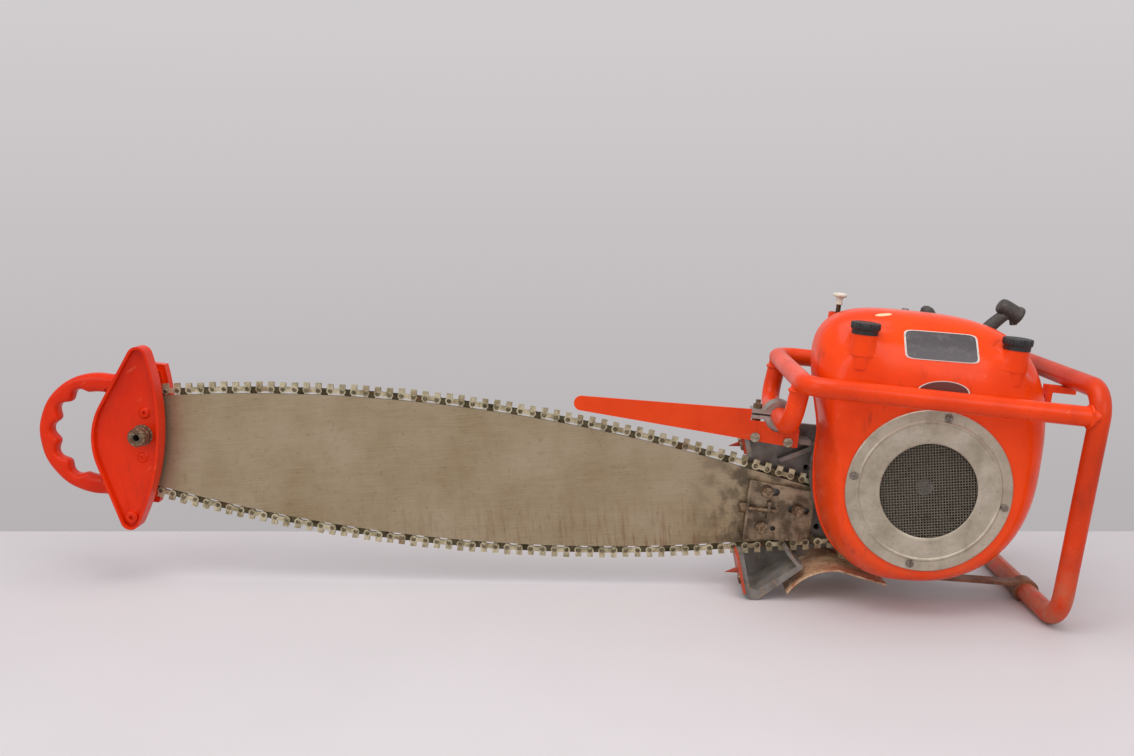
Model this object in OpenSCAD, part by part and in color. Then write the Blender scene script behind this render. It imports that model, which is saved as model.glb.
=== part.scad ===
/* [Frame tubes] */
// Outside diameter of the steel frame tubes
tube_d = 23.8; // [20:0.1:26]
// Distance from the bar's plane to the middle of each side rail
rail_y = 138; // [134:1:150]
// Height of the side rails in the saw's own axes
rail_z = 314; // [308:1:322]
// Middle of the front cross tube along the saw
front_x = 186; // [180:1:196]
// Bend radius at the front corners of the rail loop
front_bend = 30; // [24:1:40]
// Middle of the skid tube along the saw
skid_x = 516; // [508:1:524]
// Middle of the skid tube above the saw's base line
skid_z = 65; // [58:1:72]
// Middle of the top tube of the rear hoop along the saw
hoop_top_x = 522; // [514:1:530]
// Height of the top tube of the rear hoop
hoop_top_z = 345; // [338:1:356]
// Bend radius at the four corners of the rear hoop
hoop_bend = 34; // [30:1:40]
// Half the distance between the legs of the front handle
front_leg_y = 100; // [90:1:106]
// Drop of the front handle's low tube under the rails
front_drop = 60.5; // [56:0.5:64]
// Forward lean of the front handle, in degrees
front_lean = 6.6; // [4:0.2:9]

/* [Guide bar] */
// Length of the guide bar from its nose to its tail
bar_length = 920.6; // [860:1:980]
// Half the width of the bar at its widest place
bar_half = 90; // [86:1:94]
// Thickness of the bar
bar_t = 4.6; // [4:0.1:6]
// Radius of the bar's nose
nose_r = 62; // [58:1:66]
// Taper of each edge towards the tail, in degrees
bar_taper = 10; // [9:0.1:11]
// Distance from the sprocket's axis to the tail of the bar
tail_gap = 49; // [47:1:54]
// Depth of the chain groove in the bar's edge
groove_depth = 7; // [6:0.5:9]

/* [Chain] */
// Mean distance between two rivets
rivet_step = 15.875; // [15:0.125:17]
// Height of the rivets above the bar's edge
rivet_rise = 6; // [5.7:0.1:7]
// Diameter of the rivets
rivet_d = 4.2; // [3.6:0.1:4.8]
// Thickness of a side link
link_t = 1.5; // [1.2:0.1:1.8]
// Thickness of a drive link
drive_t = 1.6; // [1.4:0.1:1.8]
// Height of a side link across a rivet
link_h = 9.8; // [9:0.2:10.4]
// Height of a cutter tooth above its link
tooth_h = 4.6; // [3.5:0.1:5.5]
// Width of a cutter tooth along the chain
tooth_w = 7.6; // [6:0.2:8.4]
// Number of teeth on the drive sprocket
sprocket_teeth = 6; // [6:1:7]

/* [Nose end] */
// Height of the eye-shaped nose guard
eye_h = 245; // [235:1:256]
// Reach of the nose guard's outer side from the line between its tips
eye_left = 56; // [54:1:60]
// Reach of the nose guard's bar side from the line between its tips
eye_right = 34; // [31:1:37]
// Radius of the round belly of the guard's outer side
eye_belly_r = 95; // [88:1:102]
// Radius of the guard's two rounded tips
eye_tip_r = 13; // [11:1:15]
// Depth of the guard's rim
eye_depth = 21; // [16:1:26]
// Height of the cut-off rear half of the guard
back_h = 190; // [180:1:200]
// Wall of the cast guard
guard_wall = 3.5; // [3:0.1:5]
// Middle of the guard ahead of the bar's nose centre
eye_ahead = 32.4; // [30:0.2:36]
// Middle of the guard above the bar's axis
eye_rise = 5.5; // [3:0.5:9]
// Outside radius of the helper's handle
handle_r = 82; // [78:1:86]
// Thickness of the handle's bar in the saw's plane
handle_bar = 24; // [21:0.5:26]
// Width of the handle across the saw
handle_w = 22; // [18:0.5:23]
// Radius of each finger hollow
finger_r = 13.5; // [12:0.5:15]
// Diameter of the three bolts through the nose
nose_bolt_d = 12; // [10:0.5:14]

/* [Bar mount] */
// Thickness of the bar clamp plate
clamp_plate_t = 3.2; // [2.5:0.1:4.5]
// Thickness of the bracket's web and flanges
bracket_wall = 6; // [5:0.5:8]
// Half the width of the bracket's near flanges, from the bar's plane
bracket_near = 48; // [44:1:52]
// Diameter of the bar bolts
bar_bolt_d = 9.5; // [8:0.1:10.5]
// Thickness of the bumper plates
bumper_t = 3; // [2.5:0.1:4]
// Length of a bumper spike
spike_l = 17; // [13:0.5:21]
// Thickness of the flat hand guard
hand_guard_t = 3; // [2:0.1:4]
// Diameter of the chain tension screw
tension_d = 6; // [5:0.1:7]

/* [Cowl and tank] */
// Reach of the cowl ahead of its crest
cowl_ahead = 97.5; // [94:0.5:101]
// Reach of the cowl behind its crest
cowl_behind = 169.5; // [166:0.5:174]
// Half the height of the cowl
cowl_b = 166; // [162:1:170]
// Front face of the cowl, measured towards the viewer
cowl_front = 109; // [106:1:112]
// Rear edge of the cowl, measured towards the viewer
cowl_back = 20; // [19:0.5:22]
// Place where the cowl's sides start to curve forward
cowl_turn = 40; // [36:1:44]
// Sheet thickness of the cowl
cowl_wall = 2.2; // [1.6:0.1:3]
// Radius of the cowl's flat round front
drum_r = 104; // [102:1:110]
// Outside radius of the intake ring
ring_r = 99; // [97:0.5:101]
// Radius of the ring's opening
ring_hole_r = 58; // [50:1:64]
// Thickness of the intake ring
ring_t = 2.6; // [2:0.1:4]
// Wire spacing of the intake mesh
mesh_pitch = 7; // [6:0.5:10]
// Radius of the filler caps
cap_r = 16.5; // [16:0.25:18]
// Height of the filler caps
cap_h = 14.5; // [12.5:0.5:15.5]
// Radius of the fan's back plate
back_plate_r = 126; // [122:1:128]

/* [Engine] */
// Gear tooth size, pitch diameter over tooth count
gear_module = 2.5; // [2.3:0.05:2.6]
// Teeth on the clutch pinion
pinion_teeth = 21; // [19:1:22]
// Teeth on the driven gear
gear_teeth = 54; // [52:1:55]
// Lean of the cylinder to the rear, in degrees
cylinder_lean = 22.5; // [20:0.5:26]
// Bore of the cylinder
bore_d = 52; // [48:1:56]
// Stroke of the piston
stroke = 46; // [42:1:46]
// Outside radius of the cooling fins
fin_r = 38; // [35:0.5:38]
// Radius of the crankcase
case_r = 46; // [45:0.5:47]
// Radius of the flywheel and its fan
flywheel_r = 88; // [80:1:92]
// Travel of the oil pump's plunger
pump_travel = 12; // [8:1:14]
// Travel of the throttle lever's tip, in degrees
lever_lift = 15; // [12:1:16]

/* [Hidden] */
$fn = 64;

fit = 0.05;
seat = 0.1;
over = 1;
tube_r = tube_d / 2;

// Sprocket, crank and bar, all in the saw's own axes: X to the rear, Y away from the viewer, Z up
axis_z = 129;
sprocket_x = 289;
crank_angle = 49;
gear_reach = gear_module * (pinion_teeth + gear_teeth) / 2;
crank_x = sprocket_x + gear_reach * cos(crank_angle);
crank_z = axis_z + gear_reach * sin(crank_angle);
pitch_r = rivet_step / (2 * sin(90 / sprocket_teeth));

// The bar's edge is a belly arc, tangent to the nose circle and to the straight tail. Its radius
// follows from the bar's length, through one quadratic.
taper_gain = (1 - cos(bar_taper)) / sin(bar_taper);
tail_reach = (rivet_rise - pitch_r + bar_half * cos(bar_taper)) / sin(bar_taper);
quad_a = taper_gain / (2 * (bar_half - nose_r));
quad_c = taper_gain * (nose_r + bar_half) / 2 + tail_reach + nose_r - tail_gap - bar_length;
nose_reach = (sqrt(1 - 4 * quad_a * quad_c) - 1) / (2 * quad_a);
belly_r = (pow(nose_reach, 2) / (bar_half - nose_r) + nose_r + bar_half) / 2;
belly_drop = belly_r - bar_half;
belly_x = sprocket_x - (taper_gain * belly_r + tail_reach);
nose_x = belly_x - nose_reach;
bar_end_x = sprocket_x - tail_gap;
nose_lean = asin(nose_reach / (belly_r - nose_r));

// The chain's rivet line runs round the bar at rivet_rise, from the back of the sprocket
line_r = belly_r + rivet_rise;
tip_r = nose_r + rivet_rise;
wrap_len = pitch_r * (90 - bar_taper) * PI / 180;
tail_len = (belly_x + line_r * sin(bar_taper) - sprocket_x - pitch_r * sin(bar_taper)) / -cos(bar_taper);
belly_len = line_r * (bar_taper + nose_lean) * PI / 180;
tip_len = tip_r * (90 - nose_lean) * PI / 180;
half_len = wrap_len + tail_len + belly_len + tip_len;
rivets = 4 * round(half_len / (2 * rivet_step));
step = 2 * half_len / rivets;

// Place along the upper half of the rivet line: x, height above the bar's axis, heading
function upper_place(s) =
    s < wrap_len
        ? let (a = s / pitch_r * 180 / PI) [sprocket_x + pitch_r * cos(a), pitch_r * sin(a), a + 90]
    : s < wrap_len + tail_len
        ? let (u = s - wrap_len) [sprocket_x + pitch_r * sin(bar_taper) - u * cos(bar_taper),
            pitch_r * cos(bar_taper) + u * sin(bar_taper), 180 - bar_taper]
    : s < wrap_len + tail_len + belly_len
        ? let (a = 90 - bar_taper + (s - wrap_len - tail_len) / line_r * 180 / PI)
            [belly_x + line_r * cos(a), line_r * sin(a) - belly_drop, a + 90]
    : let (a = 90 + nose_lean + (s - wrap_len - tail_len - belly_len) / tip_r * 180 / PI)
        [nose_x + tip_r * cos(a), tip_r * sin(a), a + 90];
function chain_place(s) =
    let (q = s > half_len ? 2 * half_len - s : s, p = upper_place(q))
    s > half_len ? [p.x, -p.y, 180 - p.z] : p;
function rivet_at(k) = chain_place((k % rivets + 0.5) * step);

// Widths across the chain, from the bar's plane
drive_half = drive_t / 2;
link_out = drive_half + fit + link_t;
tang_len = rivet_rise + groove_depth - 1.6;
tooth_tip_r = pitch_r * cos(90 / sprocket_teeth) - tang_len - 0.5;
head_t = 0.9;

// The saw stands on the bracket's foot and on the skid tube
foot_r = 8;
foot_wear = 0.4;
foot_x = 172;
foot_z = 26;
foot_gap = norm([skid_x - foot_x, skid_z - foot_z]);
tilt = atan2(skid_z - foot_z, skid_x - foot_x) - asin((tube_r - foot_r + foot_wear) / foot_gap);
lift = tube_r + skid_x * sin(tilt) - skid_z * cos(tilt);
handle_x = nose_x - 89.4;
handle_z = axis_z + 1;
left_end = handle_x * cos(tilt) + handle_z * sin(tilt) - handle_r;
right_end = hoop_top_x * cos(tilt) + hoop_top_z * sin(tilt) + tube_r;
mid_x = (left_end + right_end) / 2;
hoop_lean = atan2(hoop_top_x - skid_x, hoop_top_z - skid_z);
hoop_len = norm([hoop_top_x - skid_x, hoop_top_z - skid_z]);
rail_end_x = skid_x + (rail_z - skid_z) * tan(hoop_lean);

// Layers across the saw
web_y = 10;
case_front = -14;
case_back = 56;
gear_y = 64;
gear_w = 15;
cover_y = 82;
cover_t = 4;
clutch_end = 114;
shaft_r = 10;
thin_r = 8;
bar_slot = 0.1;

// Nose end
eye_x = nose_x - eye_ahead;
eye_z = axis_z + eye_rise;
guard_gap = 12;
back_depth = 13;
web_near = 5;
chain_clear_r = nose_r + rivet_rise + link_h / 2 + tooth_h + 3;

// Cowl
cowl_x = 325;
cowl_z = 240;
corner_powers = [3, 4, 2.3, 2.45];
round_steps = 72;
turn_steps = 9;
floor_z = crank_z + drum_r + 3;
cap_y = -92;
fuel_x = 432;
oil_x = 252.7;
neck_r = cap_r - 2.6;
neck_bore_r = neck_r - 2;
neck_top = cowl_z + cowl_b - 18.5;
tank_top = neck_top - 51.5;

// Engine
cyl_y = (case_front + case_back) / 2;
web_r = 36;
pin_r = 7;
rod_len = 96;
deck = stroke / 2 + rod_len + 22;
case_neck = 50;
neck_flange_r = (case_back - case_front) / 2 - 0.6;
pump_x = 238;
pump_y = 8;
pump_r = 11.5;
pump_top = 392;
knob_r = 9.5;

// Turns and lifts a part from the saw's own axes to the way it stands on the ground
module stance() {
    translate([-mid_x, 0, lift]) rotate([0, tilt, 0]) children();
}

// A round bar along Y, between two distances from the bar's plane
module across(r, y0, y1) {
    translate([0, y0, 0]) rotate([-90, 0, 0]) cylinder(h = y1 - y0, r = r);
}

// A flat outline drawn in X and Z, given thickness along Y
module slab(y0, y1) {
    translate([0, y1, 0]) rotate([90, 0, 0]) linear_extrude(y1 - y0) children();
}

// A round bar between two points
module rod(p, q, d) {
    v = q - p;
    translate(p) rotate([0, acos(v.z / norm(v)), atan2(v.y, v.x)]) cylinder(h = norm(v), d = d);
}

// A quarter bend about the origin, starting at an angle
module bend(r, d, start) {
    rotate(start) rotate_extrude(angle = 90) translate([r, 0]) circle(d = d);
}

// A hexagon head along Y, its seat towards +Y
module hex_head(flats, t) {
    rotate([90, 0, 0]) cylinder(h = t, r = flats / sqrt(3), $fn = 6);
}

// A slotted round screw head along Y, its seat towards +Y
module slotted_head(r, t) {
    difference() {
        translate([0, -t, 0]) across(r, 0, t);
        translate([-r - 1, -t - 1, -0.7]) cube([2 * r + 2, t * 0.5 + 1, 1.4]);
    }
}

// Points along an arc
function arc(c, r, from, to, n) = [for (i = [0:n]) let (a = from + (to - from) * i / n) c + r * [cos(a), sin(a)]];

// Outline of two circles and the straight band that touches both
module pear(p, r1, q, r2) {
    v = q - p;
    along = atan2(v.y, v.x);
    open = acos((r1 - r2) / norm(v));
    translate(p) circle(r1);
    translate(q) circle(r2);
    polygon([
        p + r1 * [cos(along + open), sin(along + open)],
        p + r1 * [cos(along - open), sin(along - open)],
        q + r2 * [cos(along - open), sin(along - open)],
        q + r2 * [cos(along + open), sin(along + open)],
    ]);
}

module crank_place() {
    translate([crank_x, 0, crank_z]) children();
}

module sprocket_place() {
    translate([sprocket_x, 0, axis_z]) children();
}

// Along the cylinder's own axis, Z away from the crank
module cylinder_place() {
    translate([crank_x, cyl_y, crank_z]) rotate([0, cylinder_lean, 0]) children();
}

// Frame tubes
module rail_side() {
    rod([front_x + front_bend, -rail_y, rail_z], [rail_end_x, -rail_y, rail_z], tube_d);
    translate([front_x + front_bend, front_bend - rail_y, rail_z]) bend(front_bend, tube_d, 180);
}

// The hoop's leg and the start of its upper bend, with room for a weld
module hoop_side() {
    d = tube_d + 2 * seat;
    turn = hoop_len - hoop_bend;
    translate([skid_x, 0, skid_z]) rotate([0, hoop_lean, 0]) {
        rod([0, -rail_y, 0], [0, -rail_y, turn + 2], d);
        rod([0, -rail_y - 1, turn - 4], [0, hoop_bend * 0.134 - rail_y, turn + hoop_bend / 2], d + 2.4);
    }
}

module rail_loop() {
    color("orangered") stance() difference() {
        union() {
            rail_side();
            mirror([0, 1, 0]) rail_side();
            rod([front_x, front_bend - rail_y, rail_z], [front_x, rail_y - front_bend, rail_z], tube_d);
        }
        for (side = [0, 1]) mirror([0, side, 0]) hoop_side();
    }
}

module rear_hoop() {
    w = 2 * rail_y;
    color("orangered") stance() translate([skid_x, 0, skid_z]) rotate([0, hoop_lean, 0])
        rotate([90, 0, 90]) {
            for (v = [0, hoop_len])
                rod([hoop_bend - rail_y, v, 0], [rail_y - hoop_bend, v, 0], tube_d);
            for (u = [-rail_y, rail_y])
                rod([u, hoop_bend, 0], [u, hoop_len - hoop_bend, 0], tube_d);
            for (k = [0:3])
                translate([(k == 0 || k == 3 ? 1 : -1) * (rail_y - hoop_bend),
                    k < 2 ? hoop_len - hoop_bend : hoop_bend]) bend(hoop_bend, tube_d, 90 * k);
        }
}

module front_handle() {
    inner = front_leg_y - front_bend;
    color("orangered") stance() translate([front_x, 0, rail_z]) rotate([0, front_lean, 0]) difference() {
        union() {
            rod([0, -inner, -front_drop], [0, inner, -front_drop], tube_d);
            for (side = [0, 1]) mirror([0, side, 0]) {
                rod([0, -front_leg_y, front_bend - front_drop], [0, -front_leg_y, 0], tube_d);
                translate([0, -inner, front_bend - front_drop]) rotate([90, 0, 90]) bend(front_bend, tube_d, 180);
            }
        }
        rod([0, -rail_y, 0], [0, rail_y, 0], tube_d + 2 * seat);
    }
}

// Split collar that carries the front handle on the bar bracket
collar_y0 = -16;
collar_y1 = 8;
collar_r = 19.5;
bracket_top = 227;
low_x = front_x - front_drop * sin(front_lean);
low_z = rail_z - front_drop * cos(front_lean);

module frame_clamp() {
    lug_w = 12;
    color("gainsboro") stance() difference() {
        union() {
            translate([low_x, 0, low_z]) across(collar_r, collar_y0, collar_y1);
            translate([low_x - 36, collar_y0, low_z - lug_w / 2])
                cube([30, collar_y1 - collar_y0, lug_w]);
            translate([low_x - 16, collar_y0, bracket_top])
                cube([32, collar_y1 - collar_y0, low_z - bracket_top - tube_r]);
        }
        translate([low_x, 0, low_z]) across(tube_r + seat, collar_y0 - over, collar_y1 + over);
        translate([low_x - 60, collar_y0 - over, low_z - 1.2])
            cube([60, collar_y1 - collar_y0 + 2 * over, 2.4]);
        translate([low_x - 28, (collar_y0 + collar_y1) / 2, 0]) cylinder(h = 400, r = 3.3);
    }
}

module clamp_bolt() {
    mid_y = (collar_y0 + collar_y1) / 2;
    color("darkgray") stance() translate([low_x - 28, mid_y, low_z]) {
        translate([0, 0, -13]) cylinder(h = 30, r = 3.2);
        translate([0, 0, 6]) cylinder(h = 5.5, r = 5.8, $fn = 6);
        translate([0, 0, -11.5]) cylinder(h = 5.5, r = 5.8, $fn = 6);
    }
}

// Flat strap from the crankcase to a clip round the skid tube
strap_y0 = -34;
strap_y1 = -14;

module skid_strap() {
    strap_t = 4;
    color("sienna") stance() difference() {
        union() {
            translate([skid_x, 0, skid_z]) across(tube_r + strap_t, strap_y0, strap_y1);
            slab(strap_y0, strap_y1) polygon([[362, 66], [362, 70], [skid_x - 20, skid_z + 10],
                [skid_x, skid_z + 14], [skid_x, skid_z + 10], [skid_x - 20, skid_z + 6]]);
            slab(strap_y1 - 1, case_front + 14) polygon([[362, 66], [382, 66], [382, 70], [362, 70]]);
            slab(case_front + seat, case_front + 14) difference() {
                polygon([[362, 66], [382, 66], [382, crank_z - case_r + 12], [362, crank_z - case_r + 12]]);
                translate([crank_x, crank_z]) circle(case_r + seat);
            }
        }
        translate([skid_x, 0, skid_z]) across(tube_r + seat, strap_y0 - over, strap_y1 + over);
        floor_cut();
    }
}

// Lug on the cowl's rear edge, with a strip to the underside of the hoop
module rear_stay() {
    stay_y = -34;
    under = hoop_top_z - tube_r;
    color("orangered") stance() difference() {
        slab(stay_y - 9, stay_y + 9) polygon([[496, under - 22], [502, under - 22], [502, under - 8],
            [hoop_top_x + 8, under - 8], [hoop_top_x + 8, under], [496, under]]);
        translate([hoop_top_x, 0, hoop_top_z]) across(tube_r + seat, stay_y - 10, stay_y + 10);
        slab(stay_y - 10, stay_y + 10) cowl_outline(seat);
        translate([hoop_top_x - 42, stay_y, under - 15]) rotate([0, 90, 0]) cylinder(h = 40, r = 3.1);
    }
}

// Outline of the bar, grown or shrunk evenly
module bar_outline(grow) {
    r = belly_r + grow;
    tail = [belly_x + r * sin(bar_taper), r * cos(bar_taper) - belly_drop];
    upper = [
        [bar_end_x, tail.y - (bar_end_x - tail.x) * tan(bar_taper)],
        each arc([belly_x, -belly_drop], r, 90 - bar_taper, 90 + nose_lean, 60),
        each arc([nose_x, 0], nose_r + grow, 90 + nose_lean + 4, 180, 24),
    ];
    last = len(upper) - 1;
    translate([0, axis_z]) polygon([each upper, for (i = [1:last]) [upper[last - i].x, -upper[last - i].y]]);
}

bar_bolts_at = [[176.7, 152.2], [219.8, 131.7]];
stud_at = [175.4, 103.5];
bar_slot_len = 34;

module long_slot(p, r, run) {
    translate(p) circle(r);
    translate(p + [run, 0]) circle(r);
    translate(p - [0, r]) square([run, 2 * r]);
}

module guide_bar() {
    color("rosybrown") stance() difference() {
        slab(-bar_t / 2, bar_t / 2) bar_outline(0);
        slab(-drive_half - 0.15, drive_half + 0.15) difference() {
            bar_outline(2);
            bar_outline(-groove_depth);
        }
        for (p = [each bar_bolts_at, stud_at])
            slab(-bar_t, bar_t) long_slot(p - [14, 0], bar_bolt_d / 2 + 0.3, 28);
        for (p = nose_bolts_at) translate([p.x, 0, p.y]) across(nose_bolt_d / 2 + fit, -bar_t, bar_t);
    }
}

// A bone-shaped link between two rivets, with a small square tooth over each
module link_outline(n, tooth) {
    r = link_h / 2;
    difference() {
        union() {
            circle(r, $fn = 32);
            translate([n, 0]) circle(r, $fn = 32);
            translate([0, -r * 0.6]) square([n, r * 1.2]);
            for (u = [0, n]) translate([u - tooth_w / 2, 0]) square([tooth_w, r + tooth]);
        }
        for (u = [0, n]) translate([u, 0]) circle(rivet_d / 2 + fit, $fn = 24);
    }
}

// The spans of the chain from rivet k to the next, Z out of the bar
module chain_span(k) {
    a = rivet_at(k);
    b = rivet_at(k + 1);
    translate([a.x, 0, axis_z + a.y]) rotate([0, -atan2(b.y - a.y, b.x - a.x), 0]) mirror([0, 0, 1]) children();
}

function span(k) = let (a = rivet_at(k), b = rivet_at(k + 1)) norm([b.x - a.x, b.y - a.y]);

module side_links(first, tooth) {
    for (k = [first:4:rivets - 1]) chain_span(k) {
        slab(drive_half + fit, link_out) link_outline(span(k), tooth);
        slab(-link_out, -drive_half - fit) link_outline(span(k), tooth);
    }
}

module chain_cutter_links() {
    color("darkkhaki") stance() side_links(0, tooth_h);
}

module chain_raker_links() {
    color("darkkhaki") stance() side_links(2, tooth_h - 0.8);
}

// Drive links, each with a house-shaped tang that runs in the bar's groove
module chain_drive_links() {
    r = link_h / 2;
    color("dimgray") stance() for (k = [1:2:rivets - 1]) chain_span(k) {
        n = span(k);
        slab(-drive_half, drive_half) difference() {
            union() {
                circle(r * 0.9, $fn = 24);
                translate([n, 0]) circle(r * 0.9, $fn = 24);
                polygon([[0, r * 0.6], [n, r * 0.6], [n, -r * 0.5], [n * 0.72, -rivet_rise],
                    [n * 0.6, -tang_len], [n * 0.4, -tang_len], [n * 0.28, -rivet_rise], [0, -r * 0.5]]);
            }
            for (u = [0, n]) translate([u, 0]) circle(rivet_d / 2 + fit, $fn = 24);
        }
    }
}

module chain_rivets() {
    color("silver") stance() for (k = [0:rivets - 1]) {
        p = rivet_at(k);
        translate([p.x, 0, axis_z + p.y]) rotate([90, 0, 0]) {
            cylinder(h = 2 * link_out + 2 * fit, d = rivet_d, center = true, $fn = 24);
            for (side = [0, 1]) mirror([0, 0, side])
                translate([0, 0, link_out + fit]) cylinder(h = head_t, r1 = rivet_d * 0.72, r2 = rivet_d * 0.5, $fn = 24);
        }
    }
}

// An upright eye with a full outer side and a flatter bar side, drawn about the line between its
// tips. Every arc touches the next, and inset moves them all inwards.
module eye_outline(inset) {
    tip_z = eye_h / 2 - eye_tip_r;
    right_r = (pow(tip_z, 2) / (eye_right - eye_tip_r) + eye_tip_r + eye_right) / 2;
    right_turn = atan2(tip_z, right_r - eye_right);
    belly = [eye_belly_r - eye_left, 0];
    to_tip = [-belly.x, tip_z];
    left_turn = atan2(to_tip.y, to_tip.x) + acos((eye_belly_r - eye_tip_r) / norm(to_tip));
    polygon([
        each arc([eye_right - right_r, 0], right_r - inset, -right_turn, right_turn, 24),
        each arc([0, tip_z], eye_tip_r - inset, right_turn + 8, left_turn, 14),
        each arc(belly, eye_belly_r - inset, left_turn + 1, 359 - left_turn, 28),
        each arc([0, -tip_z], eye_tip_r - inset, 360 - left_turn, 352 - right_turn, 14),
    ]);
}

nose_bolts_at = [[nose_x - 24, axis_z + 11], [nose_x - 22, axis_z + 41], [nose_x - 22, axis_z - 19]];
tip_screw_at = [eye_x, eye_z - eye_h / 2 + 16];

module nose_guard() {
    front = -guard_gap - eye_depth;
    floor_y = -guard_gap - guard_wall;
    color("orangered") stance() difference() {
        union() {
            translate([eye_x, 0, eye_z]) difference() {
                slab(front, -guard_gap) eye_outline(0);
                slab(front - 1, floor_y) eye_outline(guard_wall);
            }
            for (p = [nose_bolts_at[1], nose_bolts_at[2]])
                translate([p.x, 0, p.y]) across(8.5, floor_y - 3, -guard_gap - 1);
            translate([tip_screw_at.x, 0, tip_screw_at.y]) across(8, floor_y - 5, -guard_gap - 1);
        }
        for (p = nose_bolts_at)
            translate([p.x, 0, p.y]) across(nose_bolt_d / 2 + fit, front - 1, 0);
        translate([tip_screw_at.x, 0, tip_screw_at.y]) across(2.6, front - 1, 0);
    }
}

module nose_guard_back() {
    end = guard_gap + back_depth;
    color("orangered") stance() difference() {
        translate([eye_x, 0, eye_z]) intersection() {
            difference() {
                slab(guard_gap, end) eye_outline(0);
                slab(guard_gap + guard_wall, end + 1) intersection() {
                    eye_outline(guard_wall);
                    translate([-eye_left, guard_wall - back_h / 2])
                        square([2 * eye_left, back_h - 2 * guard_wall]);
                }
            }
            translate([-eye_left - 1, 0, -back_h / 2]) cube([2 * eye_left, 60, back_h]);
        }
        for (p = nose_bolts_at) translate([p.x, 0, p.y]) across(nose_bolt_d / 2 + fit, 0, 60);
    }
}

// D-shaped handle with a hollow for each finger, on a web between the bar and the rear guard
module handle_half_ring(r, w) {
    rotate([90, 0, 0]) rotate(90) rotate_extrude(angle = 180) translate([r, 0]) intersection() {
        circle(d = w);
        square([w, handle_w], center = true);
    }
}

module helper_handle() {
    ring_r = handle_r - handle_bar / 2;
    arm = 46;
    valley_r = ring_r - handle_bar / 2 + 3.5 - finger_r;
    color("orangered") stance() difference() {
        union() {
            translate([handle_x, 0, handle_z]) {
                handle_half_ring(ring_r, handle_bar);
                for (s = [-1, 1]) translate([0, 0, s * ring_r]) rotate([0, 90, 0]) intersection() {
                    cylinder(h = arm, d = handle_bar);
                    translate([0, 0, arm / 2]) cube([handle_bar, handle_w, arm], center = true);
                }
            }
            translate([eye_x, 0, eye_z]) slab(web_near, guard_gap - seat) intersection() {
                eye_outline(guard_wall + 1);
                translate([-eye_left, -back_h / 2 + 8]) square([2 * eye_left, back_h - 16]);
            }
        }
        for (k = [-1.5:1:1.5]) translate([handle_x, 0, handle_z]) rotate([0, 180 - 27 * k, 0])
            translate([valley_r, 0, 0]) across(finger_r, -handle_w, handle_w);
        translate([nose_x, 0, axis_z]) across(chain_clear_r, -handle_w, web_near);
        translate([nose_x + 26, -handle_w, axis_z - 100]) cube([80, 2 * handle_w, 200]);
        for (p = nose_bolts_at) translate([p.x, 0, p.y]) across(nose_bolt_d / 2 + fit, 0, 60);
    }
}

module nose_bolts() {
    end = guard_gap + guard_wall;
    main = nose_bolts_at[0];
    color("darkgray") stance() {
        difference() {
            translate([main.x, 0, main.y]) {
                across(nose_bolt_d / 2, -end - 28, end + 12);
                across(10.5, -end - 8, -end);
                across(9, -end - 28, -end - 10);
                translate([0, end + 9, 0]) hex_head(18, 9);
            }
            translate([main.x, 0, main.y]) across(4.5, -end - 29, -end - 14);
        }
        for (p = [nose_bolts_at[1], nose_bolts_at[2]])
            translate([p.x, 0, p.y]) {
                across(nose_bolt_d / 2, -end - 3.5, end + 5);
                translate([0, end + 5, 0]) hex_head(15, 5);
            }
        for (p = nose_bolts_at) translate([p.x, 0, p.y]) {
            across(9, -guard_gap + seat, -bar_t / 2 - seat);
            across(9, bar_t / 2 + seat, web_near - seat);
        }
    }
}

// Casting that carries the bar: a web behind the chain, with flanges round two pockets
wing_lean = 17;
low_wing = [146, 74];
top_wing = [137, 222];
web_right = 262;

module wing(p, len, x0, x1, y0, y1) {
    translate([p.x, 0, p.y]) rotate([0, -wing_lean, 0]) translate([x0, y0, -len]) cube([x1 - x0, y1 - y0, len]);
}

// Space that the chain needs where it passes a flange
module chain_gap() {
    slab(-8, 8) bar_outline(rivet_rise + link_h / 2 + tooth_h + 5);
}

module bar_bracket() {
    t = bracket_wall;
    color("dimgray") stance() difference() {
        union() {
            slab(web_y, web_y + t) polygon([[160, 40], [168, 24], [236, 66], [web_right, 96],
                [web_right, 168], [238, 200], [238, 243], [206, 243], [200, bracket_top],
                [140, bracket_top], [147, 200], [150, 120]]);
            difference() {
                bracket_flanges(t);
                chain_gap();
            }
            slab(bar_t / 2 + bar_slot, web_y + 1) polygon([[160, 92], [236, 99], [236, 157], [160, 165]]);
        }
        for (p = [each bar_bolts_at, stud_at])
            translate([p.x, 0, p.y]) across(bar_bolt_d / 2 + fit, 0, 30);
        for (p = web_bolts_at) translate([p.x, 0, p.y]) across(4.1, 0, 30);
        floor_cut();
    }
}

// Flanges: ahead of the chain, under it along the foot, and over it under the collar
module bracket_flanges(t) {
    foot_end = [229, 68];
    wing(low_wing, 52, 0, t, 0.5 - bracket_near, web_y + t - 0.5);
    wing(top_wing, 26, 0, t, -17.5, web_y + t - 0.5);
    slab(-bracket_near, web_y + t) {
        polygon([each arc([foot_x, foot_z], foot_r, 165, 313, 16), foot_end, foot_end + [-4, 5],
            [foot_x + 1, foot_z + 6], [foot_x - 7, foot_z + 8]]);
        polygon([foot_end + [-6, -2], foot_end + [-3, 1], foot_end + [-20, 19], foot_end + [-24, 16]]);
    }
    slab(-18, web_y + t)
        polygon([[139, bracket_top - t], [222, bracket_top - t], [222, bracket_top], [139, bracket_top]]);
    slab(-4, web_y + t) polygon([[186, 196], [190, 192], [232, 214], [232, 221]]);
}

// Everything under the ground plane, in the saw's own axes
module floor_cut() {
    rotate([0, -tilt, 0]) translate([-100, -60, -lift - 60]) cube([800, 120, 60]);
}

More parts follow.
